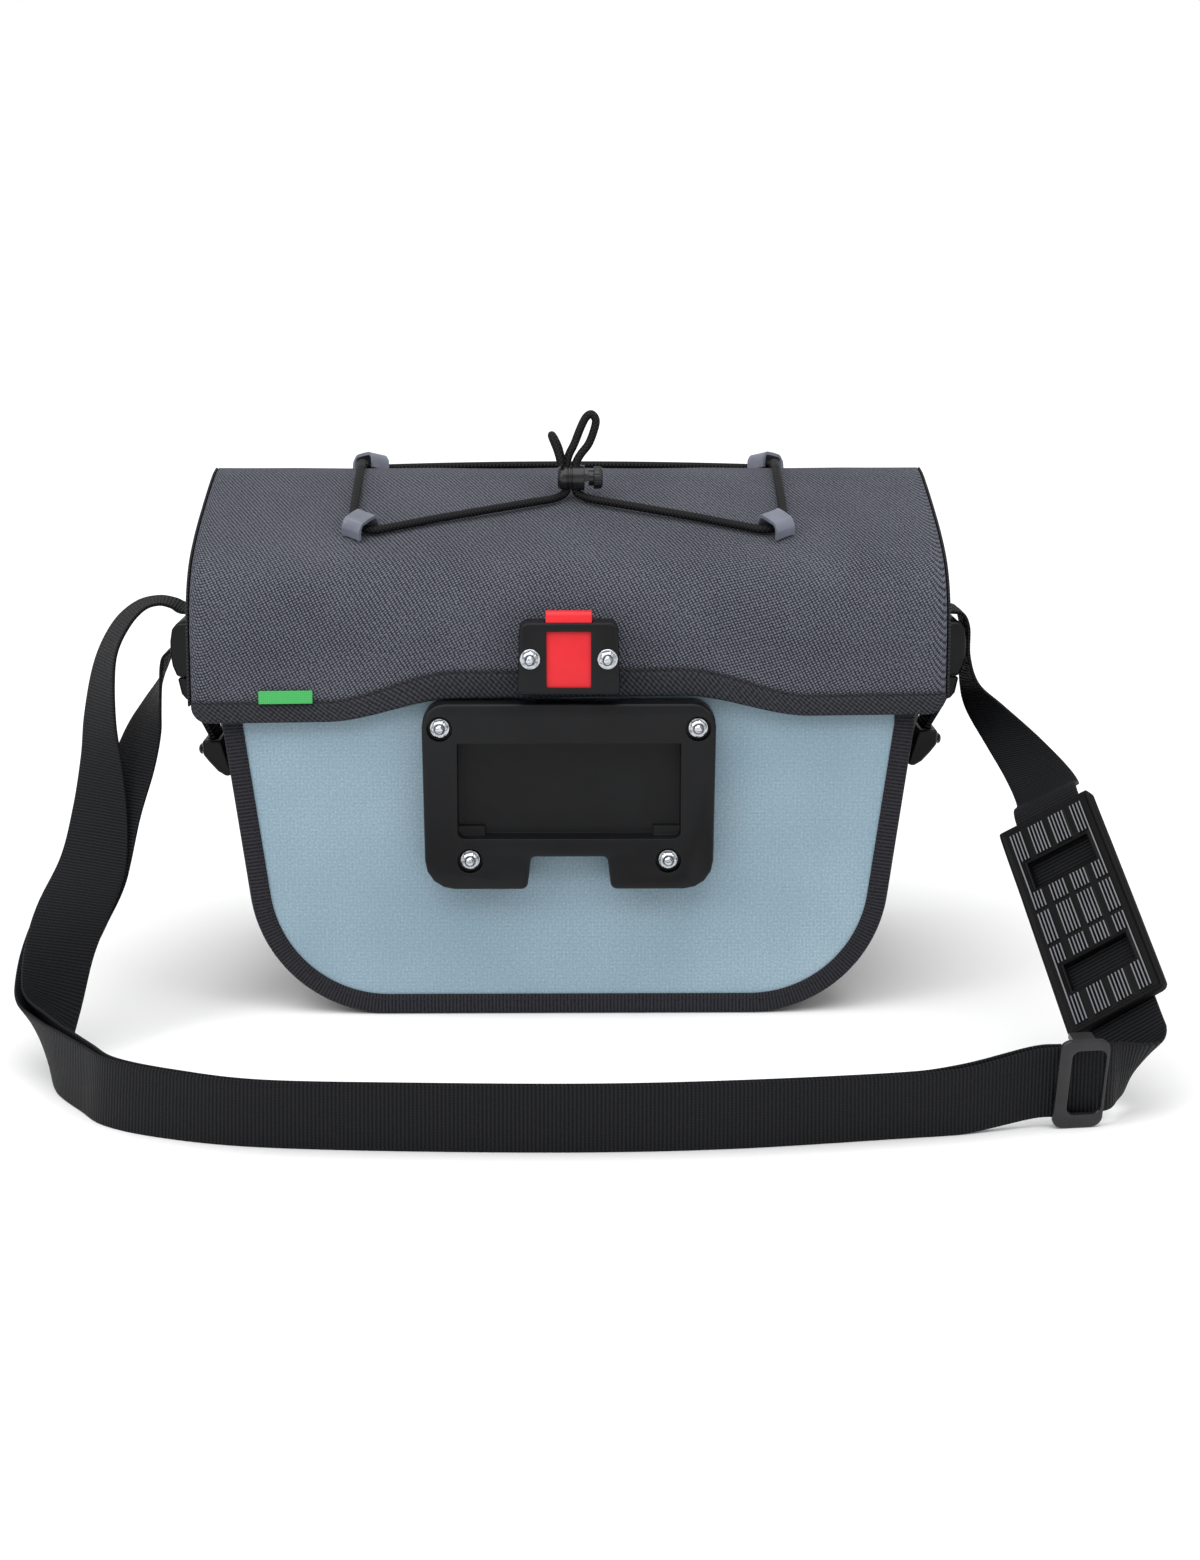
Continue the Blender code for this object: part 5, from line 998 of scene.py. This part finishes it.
def knobRibs(radius):
    # the radius is less in every other part of the turn, where the sine of the ribs' turn is positive
    def ribbed(along, radiusNow, turn):
        rim = radiusNow > radius * 0.9
        rib = 0.5 + 0.5 * np.sign(np.sin(turn * lock["ribs"]))
        return radiusNow * (1 - lock["ribDepth"] * rim * rib)

    return ribbed


def addCordLock():
    addTurned("cordLockBarrel", "cord_lock_barrel", barrelProfile)
    start = cornersOf("cord_lock_plunger")[1][0] - lock["head"]
    back, front = start - lock["foot"], start - lock["neck"] + gap
    tall, inner, outer = lock["cheekTall"], lock["cheekInner"], lock["cheekOuter"]
    cheeks = [((back, y, -tall), (front, y + outer - inner, tall)) for y in (-outer, inner)]
    addTurned("cordLockKnob", "cord_lock_plunger", knobProfile, "plunger", knobRibs, cheeks)


addCords()
addTabs()
addCordLock()
print("cord")

strap = {
    "width": 0.0250, "wall": 0.0014, "layer": 0.0020, "slack": 0.0018, "selvedge": 0.00012,
    "reach": 0.0350, "forward": 0.1980, "buckleX": 0.1405, "buckleY": 0.0420, "buckleTop": 0.1395,
    # across, out, forward, up, turn, rise, as in the solids
    "front": [(1.098, 0.0, 0.890, 0.029, 262, 77), (1.031, 0.0, 0.896, 0.027, 262, 76),
              (0.869, 0.0, 0.930, 0.006, 261, 72), (0.708, 0.0, 0.954, 0.0, 261, 69),
              (0.364, 0.0, 0.995, 0.0, 266, 71), (0.040, 0.0, 1.010, 0.0, 270, 71),
              (-0.344, 0.0, 1.002, 0.0, 275, 71), (-0.677, 0.0, 0.980, 0.0, 280, 70),
              (-0.879, 0.0, 0.934, 0.0, 287, 73), (-1.000, 0.093, 0.872, 0.0, 292, 74),
              (-1.000, 0.373, 0.795, 0.0, 288, 74)],
    "turn": [(-1.000, 0.683, 0.700, 0.0, 275, 74), (-1.000, 0.893, 0.612, 0.020, 250, 62),
             (-1.000, 0.988, 0.560, 0.070, 226, 44)],
    "leg": [(-1.000, 0.998, 0.520, 0.150, 218, 24), (-1.000, 0.973, 0.466, 0.243, 208, 14),
            (-1.000, 0.903, 0.400, 0.325, 188, 10), (-1.000, 0.778, 0.312, 0.424, 165, 6)],
    "outerArch": [(-1.000, 0.758, 0.240, 0.540, 149, 2), (-1.000, 0.793, 0.170, 0.655, 135, 1),
                  (-1.000, 0.843, 0.120, 0.753, 126, 0), (-1.000, 0.833, 0.085, 0.859, 118, 0),
                  (-1.000, 0.783, 0.055, 0.932, 112, 0), (-1.000, 0.653, 0.030, 0.995, 109, 0),
                  (-1.000, 0.480, 0.012, 1.035, 104, 0), (-1.000, 0.300, 0.004, 1.047, 98, 0),
                  (-1.000, 0.150, 0.001, 1.040, 94, 0), (-1.000, 0.040, 0.0, 1.026, 91, 0)],
    "innerArch": [(-1.000, 0.632, 0.232, 0.535, 147, 0), (-1.000, 0.480, 0.166, 0.648, 136, 0),
                  (-1.000, 0.390, 0.118, 0.730, 126, 0), (-1.000, 0.330, 0.080, 0.785, 112, 0),
                  (-1.000, 0.270, 0.035, 0.840, 97, 0)],
    "right": [(1.000, 0.0, 0.0, 1.022, 90, 0), (1.000, 0.110, 0.0, 1.016, 90, 0),
              (1.000, 0.170, 0.0, 0.980, 90, 0), (1.000, 0.172, 0.012, 0.900, 90, -2),
              (1.000, 0.195, 0.055, 0.820, 97, -8), (1.000, 0.305, 0.111, 0.765, 113, -12),
              (1.000, 0.520, 0.202, 0.696, 131, -14), (1.000, 0.683, 0.293, 0.631, 142, -19),
              (1.000, 0.733, 0.370, 0.586, 148, -26)],
    "pad": [(1.000, 0.609, 0.479, 0.582, 151, -31), (1.000, 0.792, 0.582, 0.424, 155, -32),
            (1.000, 0.946, 0.670, 0.290, 160, -33), (1.000, 1.129, 0.773, 0.131, 166, -34)],
    "tail": [(1.000, 1.186, 0.796, 0.090, 153, -40), (1.000, 1.200, 0.813, 0.063, 125, -44),
             (1.000, 1.130, 0.827, 0.046, 100, -52), (1.000, 0.975, 0.851, 0.036, 84, -64),
             (1.203, 0.0, 0.879, 0.029, 80, -75), (1.102, 0.0, 0.890, 0.029, 82, -77)],
}
buckle = {"thick": 0.0092, "standoff": 0.0024, "bar": 0.0045, "seam": 0.1195, "slotShare": 0.22}


def strapRows(rows, side=-1):
    # middle line and crosswise direction of each row of the strap's sections
    rows = np.array(rows, float)
    turn, rise = np.radians(rows[:, 4]), np.radians(rows[:, 5])
    across = np.stack([np.cos(rise) * np.cos(turn), np.cos(rise) * np.sin(turn), np.sin(rise)], 1)
    middle = np.stack([rows[:, 0] * strap["buckleX"] + side * rows[:, 1] * strap["reach"],
                       strap["buckleY"] - rows[:, 2] * strap["forward"],
                       rows[:, 3] * strap["buckleTop"] + strap["width"] / 2 * np.abs(across[:, 2])], 1)
    return np.hstack([middle, across])


def normalsOf(line):
    # square to the line and to its crosswise direction
    return unit(np.cross(np.gradient(line[:, :3], axis=0), line[:, 3:]))


def addWebbing(name, line, node, sheet):
    # section carried along the line: powers of cosine and sine, a little thicker at its edges and middle
    width, wall = sheet["width"], sheet["wall"]
    middle, across, normal = line[:, :3], unit(line[:, 3:]), normalsOf(line)
    turn = np.linspace(0, 2 * pi, 33)[:-1]
    flatX = np.sign(np.cos(turn)) * np.abs(np.cos(turn)) ** 0.35 * width / 2
    flatY = np.sign(np.sin(turn)) * np.abs(np.sin(turn)) ** 0.35 * wall / 2
    flatY = flatY * (1 + strap["selvedge"] / wall * np.cos(flatX / width * 4 * pi))
    points = middle[:, None] + across[:, None] * flatX[:, None] + normal[:, None] * flatY[:, None]
    points[..., 2] += np.maximum(0.0, 0.0001 - points[..., 2].min(1))[:, None]
    uv = crossed(lengthsAlong(middle), lengthsAlong(np.stack([flatX, flatY], 1), closed=True))
    addBand(name, points, uv, "webbing", node)


def addStraps():
    spans = 12
    slotTop = strap["buckleTop"] - buckle["bar"]
    slotBottom = buckle["seam"] + buckle["slotShare"] * (strap["buckleTop"] - buckle["seam"])
    slotZ = (slotTop + slotBottom) / 2
    inside = strap["buckleX"] - buckle["thick"] / 2 - buckle["standoff"] / 2
    y, wall = strap["buckleY"], strap["wall"]
    behind = np.array([(-inside - wall, y, strap["buckleTop"] + 2 * wall, 0, 1, 0),
                       (-inside, y, strap["buckleTop"] - buckle["bar"] / 2, 0, 1, 0),
                       (-inside, y, slotZ, 0, 1, 0)])
    shared = strapRows(strap["front"] + strap["turn"] + strap["leg"])
    outer = splineThrough(np.vstack([shared, strapRows(strap["outerArch"]), behind]), spans)
    addWebbing("strapOuterWebbing", outer, "strap_outer", strap)

    count = (len(shared) - 1) * spans + 1
    front = (len(strap["front"]) - 2) * spans
    ease = np.interp(np.arange(len(outer)), [front, front + 2 * spans], [0.0, strap["slack"]])
    inner = outer.copy()
    inner[:, :3] -= normalsOf(outer) * (strap["layer"] + ease)[:, None]
    inner = inner[:count]
    outside = -strap["buckleX"] - buckle["thick"] / 2
    entering = np.array([(outside - 2.8 * wall, y - gap, slotZ - 4.2 * wall, 0, 1, 0),
                         (outside - 1.9 * wall, y, slotZ - 1.8 * wall, 0, 1, 0),
                         (outside + wall, y, slotZ, 0, 1, 0), (-strap["buckleX"], y, slotZ, 0, 1, 0)])
    loose = splineThrough(np.vstack([inner[-1:], strapRows(strap["innerArch"]), entering]), spans)
    inner = np.vstack([inner, loose[1:]])
    addWebbing("strapInnerWebbing", inner, "strap_inner", strap)

    rows = strapRows(strap["right"] + strap["pad"] + strap["tail"], side=1)
    right = splineThrough(np.vstack([behind[::-1] * (-1, 1, 1, 1, 1, 1), rows]), spans)
    addWebbing("strapRightWebbing", right, "strap_right", strap)
    first = (len(behind) + len(strap["right"])) * spans
    return right, lengthsAlong(right[:, :3])[[first, first + (len(strap["pad"]) - 1) * spans]].mean()


pad = {
    "length": 0.0770, "width": 0.0360, "wall": 0.0030, "corner": 0.0022,
    "slot": 0.0100, "slotWidth": 0.0236, "slotInset": 0.0138,
    "rim": 0.0016, "rimUp": 0.0006, "ribUp": 0.0008,
    "columns": [(-0.0118, 4), (-0.0040, 5), (0.0041, 5), (0.0120, 4)],   # middle and count of ribs
    "ribPitch": 0.00128, "ribHalf": 0.00042, "grooves": [0.0320, 0.0450], "grooveWidth": 0.0007,
    "edge": 0.0009, "lip": 0.0004, "ribEnd": 0.0012, "ribClear": 0.0010, "soft": 0.00022,
    "cellsAlong": 308, "cellsAcross": 150,
}


def softStep(edge, value, soft):
    # 0 before the edge and 1 behind it, straight between
    return np.clip((value - edge) / soft + 0.5, 0, 1)


def padHeight(s, t):
    # height above the pad's back at s along and t across: the wall, less where its edge is rounded, plus
    # the rim, the ribs (each the root of 1 - share^2) clear of windows and grooves, and the windows' lips
    soft = pad["soft"]
    endward = pad["length"] / 2 - np.abs(s)
    inward = np.minimum(endward, pad["width"] / 2 - np.abs(t))
    high = np.full(s.shape, pad["wall"] - 0.0002)
    high -= pad["edge"] * (1 - np.clip(inward / pad["edge"], 0, 1)) ** 2
    high += pad["rimUp"] * (1 - softStep(pad["rim"], inward, 0.0005))
    ribs = np.zeros(s.shape)
    for middle, count in pad["columns"]:
        for number in range(count):
            centre = middle + (number - (count - 1) / 2) * pad["ribPitch"]
            ribs = np.maximum(ribs, np.clip(1 - ((t - centre) / pad["ribHalf"]) ** 2, 0, 1) ** 0.5)
    slotMiddle = pad["length"] / 2 - pad["slotInset"] - pad["slot"] / 2
    fromSlot = np.maximum(np.abs(np.abs(s) - slotMiddle) - pad["slot"] / 2,
                          np.abs(t) - pad["slotWidth"] / 2)
    ribs *= softStep(pad["rim"] + pad["ribEnd"], endward, soft)
    ribs *= softStep(pad["ribClear"], fromSlot, soft)
    for groove in pad["grooves"]:
        ribs *= softStep(pad["grooveWidth"], np.abs(s + pad["length"] / 2 - groove), soft)
    high += pad["ribUp"] * ribs
    high += pad["lip"] * np.clip(1 - np.abs(fromSlot - pad["lip"]) / pad["lip"], 0, 1)
    return high, fromSlot, ribs


def addPad(right, middle):
    # front face as a height over the strap's own surface, with its windows left out; flat back
    along = lengthsAlong(right[:, :3])
    s = np.linspace(-0.5, 0.5, pad["cellsAlong"] + 1) * pad["length"]
    share = np.linspace(-0.5, 0.5, pad["cellsAcross"] + 1)
    line = readAlong(middle + s, along, right)
    normal, across = -normalsOf(line), unit(line[:, 3:])
    ease = np.clip(pad["corner"] - (pad["length"] / 2 - np.abs(s)), 0, pad["corner"])
    half = pad["width"] / 2 - (pad["corner"] - np.sqrt(pad["corner"] ** 2 - ease ** 2))
    t = share[None] * 2 * half[:, None]
    high, fromSlot, ribs = padHeight(np.broadcast_to(s[:, None], t.shape), t)
    lift = strap["wall"] / 2 + 3 * gap
    base = line[:, None, :3] + across[:, None] * t[..., None]
    front = base + normal[:, None] * (lift + high)[..., None]
    back = base + normal[:, None] * lift
    rows, columns = t.shape
    index = np.arange(rows * columns).reshape(rows, columns)
    cells = np.stack([index[:-1, :-1], index[:-1, 1:], index[1:, 1:], index[1:, :-1]], -1)
    kept = (fromSlot[:-1, :-1] >= 0) | (fromSlot[1:, 1:] >= 0)
    faces = cells[kept]
    other = faces[:, ::-1] + rows * columns
    # walls where a kept cell has no kept neighbour
    walls = []
    padded = np.pad(kept, 1)
    for (di, dj), (a, b) in (((-1, 0), (0, 1)), ((0, 1), (1, 2)), ((1, 0), (2, 3)), ((0, -1), (3, 0))):
        bare = kept & ~padded[1 + di:1 + di + kept.shape[0], 1 + dj:1 + dj + kept.shape[1]]
        edge = cells[bare]
        walls.append(np.stack([edge[:, b], edge[:, a], edge[:, a] + rows * columns,
                               edge[:, b] + rows * columns], 1))
    quads = np.vstack([faces, other] + walls)
    points = np.vstack([front.reshape(-1, 3), back.reshape(-1, 3)])
    used = np.unique(quads)
    renumber = np.zeros(len(points), int)
    renumber[used] = np.arange(len(used))
    mesh = bpy.data.meshes.new("shoulderPadRubber")
    mesh.from_pydata(points[used].tolist(), [], renumber[quads].tolist())
    # each point's rib height, which the rubber turns into a painted grey highlight on the rib tops
    rubbed = np.concatenate([ribs.ravel(), np.zeros(ribs.size)])[quads.ravel()]
    mesh.uv_layers.new(name="cloth").data.foreach_set(
        "uv", np.stack([rubbed, np.zeros(len(rubbed))], 1).astype(np.float32).ravel())
    addPiece("shoulderPadRubber", mesh, "rubber", ("shoulder_pad",), sharp=50)


slider = {"height": 0.0312, "length": 0.0164, "backBar": 0.0036, "wall": 0.0015,
          "window": 0.0226, "windowWidth": 0.0109, "windowAside": 0.00155, "windowDown": -0.0006,
          "yaw": 8.0, "corner": 0.0036, "windowCorner": 0.0026, "edge": 0.0006, "railShort": 0.0045,
          "place": (1.139, 0.0, 0.886, 0.029, 262, 77)}


def roundedLoop(halfX, halfZ, radius, count=16):
    # rounded rectangle, the same number of points for every size
    turn = np.linspace(0, pi / 2, count)
    corners = [(halfX - radius, halfZ - radius, 0), (-halfX + radius, halfZ - radius, 1),
               (-halfX + radius, -halfZ + radius, 2), (halfX - radius, -halfZ + radius, 3)]
    return np.vstack([np.stack([x + radius * np.cos(turn + quarter * pi / 2),
                                z + radius * np.sin(turn + quarter * pi / 2)], 1)
                      for x, z, quarter in corners])


def addSlider():
    row = strapRows([slider["place"]])[0]
    ahead = np.array((cos(radians(slider["yaw"])), sin(radians(slider["yaw"])), 0.0))
    facing = unit(np.cross(ahead, row[3:]))
    upward = np.cross(facing, ahead)
    centre = row[:3] + facing * strap["layer"] / 2

    def place(spot):
        spot = np.asarray(spot, float)
        return centre + spot[..., :1] * ahead + spot[..., 1:2] * facing + spot[..., 2:] * upward

    half, tall, edge = slider["length"] / 2, slider["height"] / 2, slider["edge"]
    passage = strap["wall"] + 2 * gap
    depth = passage + slider["wall"]
    inner, window = slider["windowWidth"] / 2, slider["window"] / 2
    # half width, half height, corner and depth of each ring, from the outer wall over the face inward
    corner, inward, slight = slider["corner"], slider["windowCorner"], edge * 0.3
    rings = [(half, tall, corner, passage), (half, tall, corner, depth - edge),
             (half - slight, tall - slight, corner, depth - slight),
             (half - edge, tall - edge, corner - edge, depth),
             (inner + edge, window + edge, inward + edge, depth),
             (inner + slight, window + slight, inward, depth - slight),
             (inner, window, inward, depth - edge), (inner, window, inward, passage),
             (half, tall, corner, passage)]
    loops = np.stack([np.insert(roundedLoop(x, z, r), 1, d, axis=1) for x, z, r, d in rings])
    loops[4:8] += (slider["windowAside"], 0.0, -slider["windowDown"])
    uv = np.zeros((loops.shape[0], loops.shape[1] + 1, 2))
    meshes = [gridSurface("sliderFront", place(loops), uv, wrap=True)]
    web = strap["width"] / 2 + 2 * gap
    reach = half - slider["railShort"]
    for sign in (-1, 1):
        low, high = sorted((sign * web, sign * (tall - edge)))
        meshes.append(boxMesh("sliderRail", (-reach, -depth, low), (reach, passage + edge, high), place))
    bar = slider["backBar"] / 2
    meshes.append(boxMesh("sliderBar", (-bar, -depth, -web), (bar, -passage, web), place))
    piece = addPiece("strapSlider", joinMeshes("strapSlider", meshes), ("plastic", "glossPlastic"),
                     ("strap_slider",), sharp=30)
    roundEdges(piece, 0.0005, 3, 50)


closure = {"width": 0.0200, "wall": 0.0026, "seat": 0.27}


def addSides():
    upperX = strap["buckleX"] + buckle["thick"] * (closure["seat"] - 0.5)
    for label, side in (("left", -1), ("right", 1)):
        title = label.title()
        for name, node in (("buckleSocket", "buckle_socket_"), ("bucklePlug", "buckle_plug_"),
                           ("sideAnchor", "side_anchor_")):
            roundedSolid(name + title, node + label, "plastic", 0.0006)
        low, high = cornersOf("closure_webbing_" + label)
        anchorTop = cornersOf("side_anchor_" + label)[1][2]
        plugFoot = cornersOf("buckle_plug_" + label)[0][2]
        lowerX = min(abs(low[0]), abs(high[0])) + closure["wall"] / 2
        y = (low[1] + high[1]) / 2
        turns = ((upperX, high[2]), (upperX, plugFoot - gap), (lowerX, anchorTop + gap), (lowerX, low[2]))
        line = splineThrough([(side * x, y, z, 0, 1, 0) for x, z in turns], 10)
        addWebbing("closureWebbing" + title, line, "closure_webbing_" + label, closure)
        roundedSolid("anchorRivet" + title, "anchor_rivet_" + label, "plastic", 0.0002, 2)


rightStrap, padMiddle = addStraps()
addPad(rightStrap, padMiddle)
addSlider()
addSides()
print("straps and buckles")

# Remaining solids take their finish from the material that the record names for them
slots = {entry["node"]: entry["material_slot"] for entry in frame["record"]["subparts"]}
for node, thing in frame["nodes"].items():
    if not thing.hide_render:
        thing.data.materials[0] = finish[slots[node]]

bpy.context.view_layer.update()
